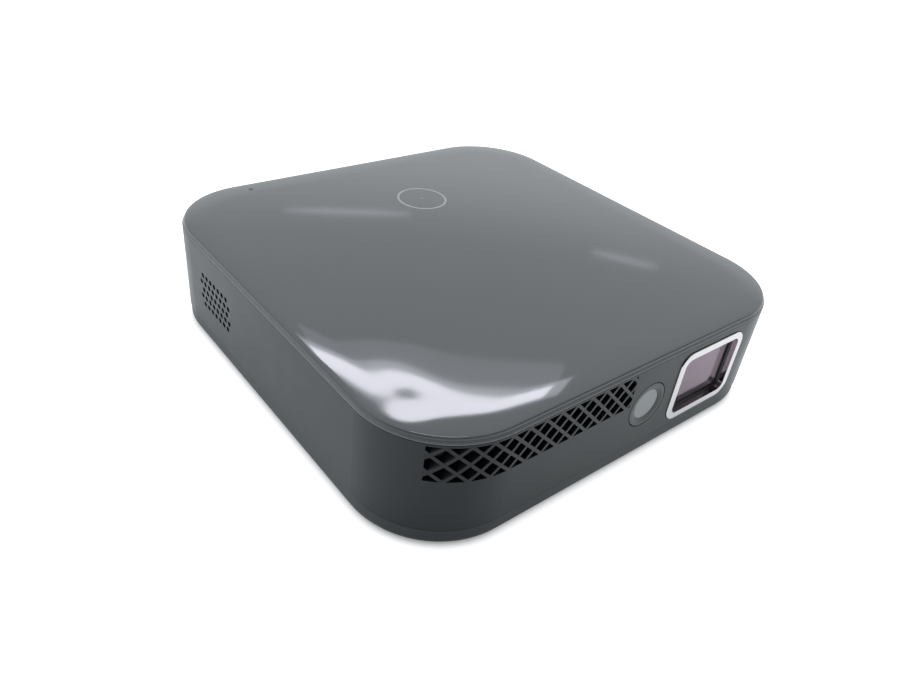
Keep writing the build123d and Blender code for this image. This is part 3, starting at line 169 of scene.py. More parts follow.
table_mesh = bpy.data.meshes.new("table")
table_mesh.from_pydata(
    [(sx * table_half, sy * table_half, 0.0) for sx, sy in corners], [], [(0, 1, 2, 3)]
)
table = scene_object("table", table_mesh)
table_material = bpy.data.materials.new("table_white")
table_material.use_nodes = True
tree = table_material.node_tree
tree.nodes.clear()
path = node(tree, "ShaderNodeLightPath")
place = node(tree, "ShaderNodeTexCoord").outputs["Object"]

# what the case mirrors: painted shade, a dimmer glow near the nearest corner
away = vector_maths(tree, "DISTANCE", place, table_shade_place * mm).outputs["Value"]
dim = table_shade_share * table_glow_mirrored
glow = ranged(tree, away, (0.0, dim), (table_shade_reach * mm, table_glow_mirrored))
mirror_rays = maths(
    tree, "MAXIMUM", path.outputs["Is Glossy Ray"], path.outputs["Is Transmission Ray"]
)
mirrored = maths(tree, "MULTIPLY", mirror_rays, glow)
mirrored_glow = node(
    tree, "ShaderNodeEmission", {"Color": table_mirrored_colour, "Strength": mirrored}
)

# what the camera sees: a painted contact shadow, dark in a rounded square under the case
corner_middle = (table_contact_half - table_contact_corner) * mm
flat_place = vector_maths(tree, "ABSOLUTE", place)
flat_place = vector_maths(tree, "SUBTRACT", flat_place, (corner_middle, corner_middle, 0.0))
flat_place = vector_maths(tree, "MAXIMUM", flat_place, (0.0, 0.0, 0.0))
painted_shadow_glow = ranged(
    tree,
    vector_maths(tree, "LENGTH", flat_place).outputs["Value"],
    ((table_contact_corner + table_contact_start) * mm, 0.0),
    ((table_contact_corner + table_contact_end) * mm, table_glow),
)
shown = maths(tree, "MULTIPLY", path.outputs["Is Camera Ray"], painted_shadow_glow)
seen_glow = node(tree, "ShaderNodeEmission", {"Strength": shown})

white = node(tree, "ShaderNodeBsdfDiffuse", {"Color": table_colour})
both = node(tree, "ShaderNodeAddShader", {0: seen_glow, 1: mirrored_glow})
both = node(tree, "ShaderNodeAddShader", {0: white, 1: both})
side = node(tree, "ShaderNodeNewGeometry").outputs["Backfacing"]
below = node(tree, "ShaderNodeBsdfTransparent")
surface = node(tree, "ShaderNodeMixShader", {0: side, 1: both, 2: below})
node(tree, "ShaderNodeOutputMaterial", {"Surface": surface})
table_mesh.materials.append(table_material)

room = bpy.data.worlds.new("white_room")
bpy.context.scene.world = room
room.use_nodes = True
tree = room.node_tree
tree.nodes.clear()
towards = node(tree, "ShaderNodeTexCoord").outputs["Generated"]
height = node(tree, "ShaderNodeSeparateXYZ", {0: towards}).outputs["Z"]
shaded = ranged(tree, height, (room_low_end, room_low_level), (room_high_start, room_level))
for direction, start, full, share in dark_places:
    facing = vector_maths(tree, "DOT_PRODUCT", towards, direction).outputs["Value"]
    shaded = maths(tree, "MULTIPLY", shaded, ranged(tree, facing, (start, 1.0), (full, share)))
seen = node(tree, "ShaderNodeLightPath").outputs["Is Camera Ray"]
level = node(tree, "ShaderNodeMix", {"Factor": seen, "A": shaded, "B": background_level})
light = node(
    tree, "ShaderNodeBackground", {"Color": room_colour, "Strength": level.outputs["Result"]}
)
node(tree, "ShaderNodeOutputWorld", {"Surface": light})

for name, (shape, azimuth, elevation, wide, high, turn, radiance, colour) in lamps.items():
    lamp = bpy.data.lights.new(name, "AREA")
    lamp.shape = shape
    lamp.size = wide
    lamp.size_y = high
    lamp.energy = radiance * wide * high * math.pi * (math.pi / 4 if shape == "ELLIPSE" else 1.0)
    lamp.color = colour
    azimuth, elevation = math.radians(azimuth), math.radians(elevation)
    flat = math.cos(elevation)
    outwards = Vector((math.cos(azimuth) * flat, math.sin(azimuth) * flat, math.sin(elevation)))
    holder = bpy.data.objects.new(name, lamp)
    holder.rotation_mode = "QUATERNION"
    spin = Quaternion((0, 0, 1), math.radians(turn))
    holder.rotation_quaternion = outwards.to_track_quat("Z", "Y") @ spin
    holder.location = outwards * lamp_distance
    holder.visible_camera = False
    bpy.context.scene.collection.objects.link(holder)

# ---------------------------------------------------------------- bottom cover
# Injection-moulded base in the case's grey, with a fine spark-eroded texture, a chamfered seam at
# its top and eight air slots under the blower. Four screws pull it against the lid's posts. Its
# colour is painted lighter than the housing's, a painted light for what the white table throws up.
# painted light: the case's grey made lighter for the table's light on the base
base_colour_painted_light = (0.050, 0.056, 0.060)
patch_detail = 3.0
grain_detail = 2.0


def grained(
    name,
    colour,
    roughness,
    spread=0.08,
    gloss_spread=0.05,
    patch=9.0,
    grain=0.25,
    depth=0.004,
    metallic=0.0,
    ior=1.5,
):
    """Material with patchy colour and gloss over a fine grain. Patch, grain and depth in mm."""
    material = bpy.data.materials.new(name)
    material.use_nodes = True
    tree = material.node_tree
    shader = tree.nodes["Principled BSDF"]
    shader.inputs["Metallic"].default_value = metallic
    shader.inputs["IOR"].default_value = ior
    place = node(tree, "ShaderNodeTexCoord").outputs["Object"]
    patches = node(
        tree,
        "ShaderNodeTexNoise",
        {"Vector": place, "Scale": 1000 / patch, "Detail": patch_detail},
    )
    dark, pale = ((*(c * level for c in colour), 1) for level in (1 - spread, 1 + spread))
    tint = node(
        tree, "ShaderNodeMix", {"Factor": patches, "A": dark, "B": pale}, {"data_type": "RGBA"}
    )
    tint.name = "tint"
    glossy, dull = max(roughness - gloss_spread, 0.0), roughness + gloss_spread
    gloss = ranged(tree, patches.outputs[0], (0.0, glossy), (1.0, dull), "LINEAR")
    fine = node(
        tree, "ShaderNodeTexNoise", {"Vector": place, "Scale": 1000 / grain, "Detail": grain_detail}
    )
    bump = node(tree, "ShaderNodeBump", {"Height": fine, "Distance": depth * mm})
    tree.links.new(tint.outputs["Result"], shader.inputs["Base Color"])
    tree.links.new(gloss, shader.inputs["Roughness"])
    tree.links.new(bump.outputs["Normal"], shader.inputs["Normal"])
    return material


def give(material, *names):
    """The CAD nodes with these names take the material."""
    for name in names:
        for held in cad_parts[name].material_slots:
            held.material = material


base_plastic = grained("base_plastic", base_colour_painted_light, 0.42, grain=0.3, depth=0.006, ior=1.40)
give(base_plastic, "bottom_cover")

# ---------------------------------------------------------------- dust screen
# Panel of woven steel wire behind the eight air slots, stuck to the inside of the base. It keeps
# fluff out of the blower.
screen_middle = Vector((-36.5, -25.0, 2.78))
screen_pitch = 1.0
screen_width = 30.0
screen_depth = 34.0
screen_wire = 0.14
wire_sides = 4
row_allowance = 1.01


def finished(name, shape, material, body="case", replaced=(), smooth=40.0):
    """Scales a shape to metres, makes it an object, hangs it on its body and hides the CAD nodes it
    replaces.
    """
    if isinstance(shape, bpy.types.Mesh):
        grown_mesh, shape = shape, bmesh.new()
        shape.from_mesh(grown_mesh)
    bmesh.ops.recalc_face_normals(shape, faces=shape.faces)
    bmesh.ops.scale(shape, vec=(mm, mm, mm), verts=shape.verts)
    mesh = bpy.data.meshes.new(name)
    shape.to_mesh(mesh)
    shape.free()
    mesh.materials.append(material)
    mesh.shade_smooth()
    mesh.set_sharp_from_angle(angle=math.radians(smooth))
    piece = scene_object(name, mesh)
    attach(piece, body)
    if replaced:
        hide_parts(*replaced)
    return piece


def growth(name, **sizes):
    """Geometry Nodes tree with named number inputs, and the node that these come out of."""
    tree = bpy.data.node_groups.new(name, "GeometryNodeTree")
    tree.interface.new_socket("Geometry", in_out="OUTPUT", socket_type="NodeSocketGeometry")
    tree.interface.new_socket("Places", in_out="INPUT", socket_type="NodeSocketGeometry")
    for label, value in sizes.items():
        kind = "NodeSocketInt" if isinstance(value, int) else "NodeSocketFloat"
        tree.interface.new_socket(label, in_out="INPUT", socket_type=kind)
    return tree, tree.nodes.new("NodeGroupInput").outputs


def ended(tree, geometry, material):
    """Ends a tree with real faces in the material."""
    real = node(tree, "GeometryNodeRealizeInstances", {"Geometry": geometry})
    coated = node(tree, "GeometryNodeSetMaterial", {"Geometry": real, "Material": material})
    node(tree, "NodeGroupOutput", {"Geometry": coated})
    return tree


def grown(tree, places=None, **sizes):
    """Plain mesh that a tree makes from the holder's points and the sizes."""
    holder = scene_object("grown", places or bpy.data.meshes.new("grown"))
    growing = holder.modifiers.new("grow", "NODES")
    growing.node_group = tree
    for item in tree.interface.items_tree:
        if item.in_out == "INPUT" and item.name in sizes:
            growing[item.identifier] = sizes[item.name]
    seen = holder.evaluated_get(bpy.context.evaluated_depsgraph_get())
    mesh = bpy.data.meshes.new_from_object(seen)
    holder.modifiers.remove(growing)
    bpy.data.objects.remove(holder)
    return mesh


def woven(name, material):
    """Tree for a plain weave of round wire, over and under in turn. Wire is its radius."""
    tree, sizes = growth(name, Width=1.0, Depth=1.0, Pitch=1.0, Wire=1.0)
    half_pitch = maths(tree, "MULTIPLY", sizes["Pitch"], 0.5)
    round_wire = node(
        tree,
        "GeometryNodeCurvePrimitiveCircle",
        {"Resolution": wire_sides, "Radius": sizes["Wire"]},
    )
    axes = node(tree, "ShaderNodeSeparateXYZ", {0: node(tree, "GeometryNodeInputPosition")})
    swings = []
    for axis in ("X", "Y"):
        turns = maths(tree, "DIVIDE", axes.outputs[axis], sizes["Pitch"])
        swings.append(maths(tree, "COSINE", maths(tree, "MULTIPLY", turns, math.pi)))
    swing = maths(tree, "MULTIPLY", *swings)
    both_sets = tree.nodes.new("GeometryNodeJoinGeometry")
    sets = []
    for long_side, short_side, over in (("Width", "Depth", 1.0), ("Depth", "Width", -1.0)):
        along, across = ("X", "Y") if over > 0 else ("Y", "X")
        half_long = maths(tree, "MULTIPLY", sizes[long_side], 0.5)
        back_short = maths(tree, "MULTIPLY", sizes[short_side], -0.5)
        back_long = maths(tree, "MULTIPLY", half_long, -1.0)
        start = node(tree, "ShaderNodeCombineXYZ", {along: back_long})
        end = node(tree, "ShaderNodeCombineXYZ", {along: half_long})
        first = node(tree, "ShaderNodeCombineXYZ", {across: back_short})
        step = node(tree, "ShaderNodeCombineXYZ", {across: sizes["Pitch"]})
        count = maths(tree, "DIVIDE", sizes[short_side], sizes["Pitch"])
        count = maths(tree, "ADD", count, row_allowance)
        wire = node(tree, "GeometryNodeCurvePrimitiveLine", {"Start": start, "End": end})
        wire = node(
            tree,
            "GeometryNodeResampleCurve",
            {"Curve": wire, "Length": half_pitch},
            {"mode": "LENGTH"},
        )
        rows = node(
            tree, "GeometryNodeMeshLine", {"Count": count, "Start Location": first, "Offset": step}
        )
        wires = node(tree, "GeometryNodeInstanceOnPoints", {"Points": rows, "Instance": wire})
        wires = node(tree, "GeometryNodeRealizeInstances", {"Geometry": wires})
        rise = maths(tree, "MULTIPLY", maths(tree, "MULTIPLY", sizes["Wire"], over), swing)
        rise = node(tree, "ShaderNodeCombineXYZ", {"Z": rise})
        wires = node(tree, "GeometryNodeSetPosition", {"Geometry": wires, "Offset": rise})
        sets.append(
            node(
                tree,
                "GeometryNodeCurveToMesh",
                {"Curve": wires, "Profile Curve": round_wire, "Fill Caps": True},
            )
        )
    for wires in sets:
        tree.links.new(wires.outputs[0], both_sets.inputs[0])
    return ended(tree, both_sets.outputs[0], material)


screen_steel = grained("screen_steel", (0.22, 0.23, 0.24), 0.4, grain=0.1, metallic=1.0)
screen_mesh = grown(
    woven("wire_weave", screen_steel),
    Width=screen_width,
    Depth=screen_depth,
    Pitch=screen_pitch,
    Wire=screen_wire,
)
screen_mesh.transform(Matrix.Translation(screen_middle))
finished("dust_screen", screen_mesh, screen_steel)

# ---------------------------------------------------------------- feet
# Four moulded rubber pads with two grip rings underneath, each stuck in a shallow round recess of
# the base.
foot_reach = 48.0
foot_profile = (
    (1.4, 0.2),
    (1.7, 0.0),
    (2.6, 0.0),
    (2.9, 0.2),
    (3.4, 0.2),
    (3.7, 0.0),
    (4.9, 0.0),
    (5.3, 0.1),
    (5.5, 0.35),
    (5.5, 0.9),
    (5.4, 1.1),
    (3.0, 1.1),
)
foot_steps = 48


def lofted(rings):
    """Closed skin over rings of (x, y, z) points, with a pole at each end. Faces point outwards."""
    shape = bmesh.new()
    loops = [[shape.verts.new(point) for point in ring] for ring in rings]
    for low, high in zip(loops, loops[1:]):
        count = len(low)
        for i in range(count):
            j = (i + 1) % count
            shape.faces.new((low[i], low[j], high[j], high[i]))
    for loop, flip in ((loops[0], True), (loops[-1], False)):
        middle = shape.verts.new(sum((v.co for v in loop), Vector()) / len(loop))
        for i, vert in enumerate(loop):
            pair = (loop[(i + 1) % len(loop)], vert) if flip else (vert, loop[(i + 1) % len(loop)])
            shape.faces.new((*pair, middle))
    return shape


def turned(profile, steps):
    """Shape of a (radius, height) profile turned round Z."""
    angles = [2 * math.pi * k / steps for k in range(steps)]
    return lofted([[(r * math.cos(a), r * math.sin(a), z) for a in angles] for r, z in profile])


def copies(name, shape, material):
    """Tree that stands a copy of the shape on each of its holder's points, turned as it says."""
    tree, sizes = growth(name, Scale=1.0, Variation=0.0, Seed=1)
    mesh = bpy.data.meshes.new(name)
    shape.to_mesh(mesh)
    shape.free()
    pattern = scene_object(name, mesh)
    copied = node(tree, "GeometryNodeObjectInfo", {"Object": pattern})
    turn = node(
        tree, "GeometryNodeInputNamedAttribute", {"Name": "turn"}, {"data_type": "FLOAT_VECTOR"}
    )
    smallest = maths(tree, "SUBTRACT", sizes["Scale"], sizes["Variation"])
    largest = maths(tree, "ADD", sizes["Scale"], sizes["Variation"])
    scale = node(
        tree,
        "FunctionNodeRandomValue",
        {"Seed": sizes["Seed"], 2: smallest, 3: largest},
        {"data_type": "FLOAT"},
    )
    stood = node(
        tree,
        "GeometryNodeInstanceOnPoints",
        {
            "Points": sizes["Places"],
            "Instance": copied.outputs["Geometry"],
            "Rotation": turn.outputs["Attribute"],
            "Scale": scale.outputs[1],
        },
    )
    return ended(tree, stood.outputs[0], material), pattern


def repeated(name, shape, places, material, slot, body="case", replaced=(), smooth=40.0, **sizes):
    """Finished piece of copies of a shape at places, each (x, y, z) or (x, y, z, turn round Z)."""
    tree, pattern = copies(name + "_pattern", shape, material)
    points = bpy.data.meshes.new(name + "_places")
    points.from_pydata([place[:3] for place in places], [], [])
    turns = points.attributes.new("turn", "FLOAT_VECTOR", "POINT")
    for held, place in zip(turns.data, places):
        held.vector = place[3] if len(place) > 3 else (0.0, 0.0, 0.0)
    mesh = grown(tree, points, **{"Scale": 1.0, "Variation": 0.0, "Seed": 1, **sizes})
    bpy.data.objects.remove(pattern)
    return finished(name, mesh, material, body, replaced, smooth)


foot_rubber = grained(
    "foot_rubber", (0.018, 0.018, 0.019), 0.75, gloss_spread=0.1, patch=4.0, depth=0.02
)
repeated(
    "foot_pads",
    turned(foot_profile, foot_steps),
    [(sx * foot_reach, sy * foot_reach, 0.0) for sx, sy in corners],
    foot_rubber,
    "pad",
    replaced=("feet",),
)

# ---------------------------------------------------------------- tripod bush
# Turned brass insert in the middle of the base, moulded in, with a tapped thread for a tripod's
# quarter-inch screw.
thread_root = 3.19
thread_crest = 2.62
thread_pitch = 1.27
thread_root_share = 0.44
thread_crest_share = 0.07
thread_low = 1.35
thread_turns = 3.6
thread_steps = 32

brass = grained(
    "brass", (0.62, 0.44, 0.17), 0.3, patch=2.0, grain=0.15, depth=0.002, metallic=1.0
)
give(brass, "tripod_bush")
thread_section = (
    (thread_root, -thread_root_share),
    (thread_crest, -thread_crest_share),
    (thread_crest, thread_crest_share),
    (thread_root, thread_root_share),
)
thread_rings = []
for step in range(int(thread_turns * thread_steps) + 1):
    angle = 2 * math.pi * step / thread_steps
    middle = thread_low + thread_pitch * step / thread_steps
    thread_rings.append(
        [
            (r * math.cos(angle), r * math.sin(angle), middle + share * thread_pitch)
            for r, share in thread_section
        ]
    )
finished("bush_thread", lofted(thread_rings), brass, smooth=25.0)

# ---------------------------------------------------------------- battery
# Flat lithium pack in shrink film, stuck to the base's floor. Two strips of amber tape go over it
# and down its sides.
tape_places = (-24.0, 24.0)
tape_width = 9.0
tape_thickness = 0.08
tape_clearance = 0.05
pack_front, pack_rear = 29.0, 63.0
pack_low, pack_top = 2.4, 10.9

cell_film = grained("cell_film", (0.10, 0.16, 0.26), 0.35, patch=14.0, grain=3.0, depth=0.05)
give(cell_film, "battery_pack")
amber_tape = grained("amber_tape", (0.52, 0.26, 0.05), 0.28, patch=3.0, grain=1.2, depth=0.01)


def strap(width, thickness, front, rear, low, top):
    """Tape over a block from its front face to its rear face, centred on x = 0."""
    outer = [
        (front - thickness, low),
        (front - thickness, top + thickness),
        (rear + thickness, top + thickness),
        (rear + thickness, low),
    ]
    inner = [(rear, low), (rear, top), (front, top), (front, low)]
    loop = outer + inner
    shape = bmesh.new()
    ends = [[shape.verts.new((x, y, z)) for y, z in loop] for x in (-width / 2, width / 2)]
    count = len(loop)
    for i in range(count):
        j = (i + 1) % count
        shape.faces.new((ends[0][i], ends[0][j], ends[1][j], ends[1][i]))
    for end in ends:
        for i, j in ((0, 7), (1, 6), (2, 5)):
            shape.faces.new((end[i], end[i + 1], end[j - 1], end[j]))
    return shape


repeated(
    "battery_tapes",
    strap(
        tape_width, tape_thickness, pack_front, pack_rear, pack_low + tape_clearance, pack_top
    ),
    [(x, 0.0, 0.0) for x in tape_places],
    amber_tape,
    "cell_wrap",
)

# ---------------------------------------------------------------- main board
# Green glass-fibre board on four posts, with copper tracks under the solder mask and small ceramic
# parts soldered on top.
board_top = 15.6
board_mask = (0.012, 0.085, 0.040)
board_track = (0.030, 0.150, 0.075)
track_pitch = 1.6
track_gap = 0.09
track_area_scale = 110.0
track_area_share = 0.5
part_length, part_width, part_height = 1.6, 0.8, 0.55
part_end = 0.32
part_round = 0.04
part_spacing = 2.4
part_seed = 11
part_count = 130
part_field_x = (-50.0, 50.0)
part_field_y = (25.5, 66.5)
part_scale = {"Scale": 0.92, "Variation": 0.08, "Seed": 3}
cap_overhang = 0.03
cap_round = 0.06
# left, right, front and rear of each place on the board that a larger part takes
board_taken = (
    (-46.5, -35.5, 56.5, 68.0),
    (-33.2, -18.0, 55.5, 68.0),
    (-15.7, 1.4, 58.0, 68.0),
    (3.7, 12.8, 57.5, 68.0),
    (15.1, 31.2, 54.5, 68.0),
    (33.5, 46.5, 64.5, 68.0),
    (-39.6, -11.6, 24.0, 45.4),
    (-13.1, 41.1, 28.9, 39.9),
    (-53.0, -44.5, 24.0, 32.0),
    (44.5, 53.0, 24.0, 32.0),
    (-53.0, -44.5, 60.0, 68.0),
    (44.5, 53.0, 60.0, 68.0),
)


def overlaid(material, share, colour):
    """Lays a second colour over the material's own, where the share is 1."""
    tree = material.node_tree
    mixed = node(
        tree,
        "ShaderNodeMix",
        {"Factor": share, "A": tree.nodes["tint"].outputs["Result"], "B": (*colour, 1)},
        {"data_type": "RGBA"},
    )
    tree.links.new(mixed.outputs["Result"], tree.nodes["Principled BSDF"].inputs["Base Color"])


board_green = grained("board_green", board_mask, 0.3, patch=5.0, grain=0.4, depth=0.01)
tree = board_green.node_tree
place = node(tree, "ShaderNodeTexCoord").outputs["Object"]
tracks = node(
    tree,
    "ShaderNodeTexBrick",
    {
        "Vector": place,
        "Scale": 1000 / track_pitch,
        "Mortar Size": track_gap,
        "Color1": (0, 0, 0, 1),
        "Color2": (0, 0, 0, 1),
        "Mortar": (1, 1, 1, 1),
    },
)
areas = node(tree, "ShaderNodeTexNoise", {"Vector": place, "Scale": track_area_scale})
open_area = maths(tree, "GREATER_THAN", areas, track_area_share)
track = maths(tree, "MULTIPLY", tracks.outputs["Color"], open_area)
overlaid(board_green, track, board_track)
give(board_green, "main_board", "touch_board", "sensor_board", "chip_board")


def block(low, high, round_by=0.0):
    """Box with chamfered edges."""
    shape = bmesh.new()
    bmesh.ops.create_cube(shape, size=1.0)
    for vert in shape.verts:
        vert.co = [l + (h - l) * (c + 0.5) for l, h, c in zip(low, high, vert.co)]
    if round_by:
        bmesh.ops.bevel(
            shape,
            geom=shape.edges,
            offset=round_by,
            segments=1,
            profile=0.5,
            affect="EDGES",
            clamp_overlap=True,
        )
    return shape


def joined(shape, added):
    """Puts a second shape's faces into the first."""
    held = bpy.data.meshes.new("held")
    added.to_mesh(held)
    added.free()
    shape.from_mesh(held)
    bpy.data.meshes.remove(held)


random.seed(part_seed)
part_places = []
while len(part_places) < part_count:
    x, y = random.uniform(*part_field_x), random.uniform(*part_field_y)
    x, y = round(x / track_pitch) * track_pitch, round(y / track_pitch) * track_pitch
    turn = random.choice((0.0, math.pi / 2))
    free = all(not (x0 < x < x1 and y0 < y < y1) for x0, x1, y0, y1 in board_taken)
    if free and all(abs(x - p[0]) + abs(y - p[1]) > part_spacing for p in part_places):
        part_places.append((x, y, board_top, (0.0, 0.0, turn)))
ceramic = grained("ceramic", (0.30, 0.20, 0.11), 0.45, spread=0.25, patch=6.0, grain=0.1)
solder = grained(
    "solder", (0.62, 0.63, 0.64), 0.25, patch=0.8, grain=0.2, depth=0.01, metallic=1.0
)
half_length, half_width = part_length / 2, part_width / 2
cap_start = half_length - part_end
middles = block((-cap_start, -half_width, 0.0), (cap_start, half_width, part_height), part_round)
repeated("board_parts", middles, part_places, ceramic, "gear_plastic", **part_scale)
caps = bmesh.new()
for left, right in ((-half_length, -cap_start), (cap_start, half_length)):
    low = (left, -half_width - cap_overhang, 0.0)
    joined(caps, block(low, (right, -low[1], part_height + cap_overhang), cap_round))
repeated("board_part_ends", caps, part_places, solder, "steel", **part_scale)

# ---------------------------------------------------------------- processor shield and chips
# Can of tinned steel sheet, folded and soldered to the board over the processor, and square chips
# in black epoxy soldered beside it.
tinned = grained(
    "tinned_steel", (0.56, 0.57, 0.58), 0.34, patch=4.0, grain=0.5, depth=0.006, metallic=1.0
)
chip_epoxy = grained(
    "chip_epoxy", (0.020, 0.020, 0.022), 0.55, patch=3.0, grain=0.12, depth=0.01
)
give(tinned, "processor_shield")
give(chip_epoxy, "chips")

# ---------------------------------------------------------------- sockets
# Data, video, card, sound and power sockets soldered along the board's rear edge: stamped steel
# shells, moulded bodies, and gold-plated contacts on the tongues.
usb_middle, usb_y, usb_z = -25.57, 66.9, 18.576
usb_spots = (-3.5, -1.0, 1.0, 3.5)
# first x, pitch, count, y and z of a row of contacts
video_low_row = (-11.64, 0.95, 10, 66.0, 17.98)
video_high_row = (-11.17, 0.95, 9, 66.0, 19.02)
card_row = (18.72, 1.1, 9, 65.0, 16.02)
contact_round = 0.03


def contact_row(first, pitch, count, y, z):
    """Places of a row of contacts, from left to right."""
    return [(first + pitch * k, y, z) for k in range(count)]


give(tinned, "usb_socket", "hdmi_socket", "card_socket")
socket_black = grained(
    "socket_black", (0.016, 0.016, 0.017), 0.5, patch=3.0, grain=0.15, depth=0.005
)
give(socket_black, "audio_jack", "dc_jack")
gold = grained(
    "gold_plate", (0.85, 0.60, 0.24), 0.22, patch=1.0, grain=0.1, depth=0.001, metallic=1.0
)
usb_contacts = [(usb_middle + spot, usb_y, usb_z) for spot in usb_spots]
video_contacts = contact_row(*video_low_row) + contact_row(*video_high_row)
# name, places, and the low and high corner of one contact
for name, places, low, high in (
    ("usb_contacts", usb_contacts, (-0.5, -5.0, -0.09), (0.5, 2.6, 0.03)),
    ("video_contacts", video_contacts, (-0.2, -4.0, -0.07), (0.2, 3.2, 0.07)),
    ("card_contacts", contact_row(*card_row), (-0.3, -4.5, -0.05), (0.3, 3.0, 0.05)),
):
    repeated(name, block(low, high, contact_round), places, gold, "brass")

# ---------------------------------------------------------------- power switch
# Black slide switch on the board. Its knob comes out through the rear wall and has four moulded
# ridges for a fingertip.
knob_middle = (38.5, 18.1)
knob_face = 73.7
ridge_pitch = 0.72
ridge_count = 4
ridge_width, ridge_depth, ridge_height = 0.24, 0.16, 1.7
ridge_round = 0.06

give(socket_black, "switch_body")
knob_plastic = grained(
    "knob_plastic", (0.03, 0.032, 0.035), 0.4, patch=2.0, grain=0.12, depth=0.005
)
give(knob_plastic, "switch_slider")
ridge_high = (ridge_width / 2, 0.0, ridge_height / 2)
ridge_places = [
    (knob_middle[0] + ridge_pitch * (k - (ridge_count - 1) / 2), knob_face, knob_middle[1])
    for k in range(ridge_count)
]
repeated(
    "knob_ridges",
    block((-ridge_width / 2, -ridge_depth, -ridge_height / 2), ridge_high, ridge_round),
    ridge_places,
    knob_plastic,
    "inner_black",
    body="switch",
)

# ---------------------------------------------------------------- board screws and antenna
# Zinc-plated pan-head screws through the board's corners. The antenna is a strip of circuit board
# stuck to the right wall, with its tracks in copper.
antenna_copper = (0.55, 0.26, 0.12)
antenna_line_scale = 160.0
antenna_line_share = 0.6

zinc = grained(
    "zinc_plate", (0.55, 0.56, 0.58), 0.28, patch=1.5, grain=0.1, depth=0.001, metallic=1.0
)
give(zinc, "board_screws")
antenna_board = grained(
    "antenna_board", (0.05, 0.045, 0.03), 0.4, patch=4.0, grain=0.3, depth=0.004
)
tree = antenna_board.node_tree
bands = node(
    tree,
    "ShaderNodeTexWave",
    {"Vector": node(tree, "ShaderNodeTexCoord").outputs["Object"], "Scale": antenna_line_scale},
    {"bands_direction": "Y"},
)
strip = maths(tree, "GREATER_THAN", bands.outputs["Fac"], antenna_line_share)
overlaid(antenna_board, strip, antenna_copper)
give(antenna_board, "radio_antenna")

# ---------------------------------------------------------------- light engine
# Closed box of black glass-filled plastic with a lid. In it, three lamps on a copper spreader
# light a mirror chip through a prism.
polished = 0.02

engine_black = grained(
    "engine_black", (0.018, 0.018, 0.020), 0.6, patch=6.0, grain=0.3, depth=0.015
)
give(engine_black, "engine_housing", "engine_lid")
spread_copper = grained(
    "spread_copper", (0.60, 0.28, 0.16), 0.35, patch=5.0, grain=0.4, depth=0.004, metallic=1.0
)
give(spread_copper, "heat_spreader")
lamp_yellow = grained("lamp_yellow", (0.62, 0.52, 0.10), 0.4, patch=0.9, grain=0.1, depth=0.002)
give(lamp_yellow, "led_modules")
chip_silver = grained(
    "chip_silver",
    (0.60, 0.62, 0.66),
    0.12,
    spread=0.15,
    patch=0.4,
    grain=0.05,
    depth=0.0005,
    metallic=1.0,
)
give(chip_silver, "mirror_chip")
front_silver = grained(
    "front_silver", (0.86, 0.87, 0.88), 0.03, gloss_spread=0.01, metallic=1.0, depth=0.0
)
give(front_silver, "fold_mirror")


def clear(name, colour, ior, through, spread=0.02):
    """Material of polished glass that is faintly dusty. Through is the share of light let in."""
    material = grained(
        name,
        colour,
        polished,
        spread=spread,
        gloss_spread=0.012,
        patch=8.0,
        grain=4.0,
        depth=0.0002,
        ior=ior,
    )
    shader = material.node_tree.nodes["Principled BSDF"]
    shader.inputs["Transmission Weight"].default_value = through
    return material


lens_glass = clear("lens_glass", (0.93, 0.96, 0.95), ior=1.62, through=1.0)
give(lens_glass, "prism", "front_lens", "rear_lens")

# ---------------------------------------------------------------- heat pipe and cooler
# Flattened copper pipe from the spreader to a stack of dark anodised fins, soldered at both ends.
# The fins stand in the blower's outlet behind the grille.
pipe_copper = grained(
    "pipe_copper",
    (0.52, 0.25, 0.15),
    0.3,
    spread=0.15,
    patch=3.0,
    grain=0.2,
    depth=0.002,
    metallic=1.0,
)
give(pipe_copper, "heat_pipe")
fin_alloy = grained(
    "fin_alloy", (0.12, 0.125, 0.135), 0.45, patch=3.0, grain=0.3, depth=0.003, metallic=0.3
)
give(fin_alloy, "heatsink")

# ---------------------------------------------------------------- blower
# Radial blower of black moulded plastic: a scroll with its lid screwed on, and a bladed rotor that
# a spring clip holds on its pin.
blower_black = grained(
    "blower_black", (0.020, 0.020, 0.021), 0.5, patch=8.0, grain=0.25, depth=0.008
)
give(blower_black, "blower_housing", "blower_lid")
rotor_black = grained(
    "rotor_black", (0.028, 0.028, 0.030), 0.38, patch=3.0, grain=0.2, depth=0.004
)
give(rotor_black, "blower_rotor")
spring_steel = grained(
    "spring_steel", (0.42, 0.43, 0.45), 0.3, patch=1.0, grain=0.1, depth=0.001, metallic=1.0
)
give(spring_steel, "rotor_clip", "gear_pins")

# ---------------------------------------------------------------- lens and focus gears
# Black anodised sleeve and cell. The wheel in the right wall turns the focus ring through an idler,
# and the ring moves the cell. The gears are moulded, and a bracket holds their pins.
lens_anodised = grained(
    "lens_anodised", (0.014, 0.014, 0.015), 0.4, patch=5.0, grain=0.1, depth=0.002, metallic=0.4
)
give(lens_anodised, "lens_sleeve", "lens_cell", "retaining_ring")
gear_white = grained(
    "gear_white", (0.52, 0.51, 0.46), 0.42, spread=0.04, patch=3.0, grain=0.2, depth=0.004
)
give(gear_white, "focus_ring", "idler_gear")
wheel_black = grained("wheel_black", (0.022, 0.023, 0.025), 0.48, patch=3.0, grain=0.2, depth=0.01)
give(wheel_black, "focus_wheel")
give(engine_black, "gear_bracket")

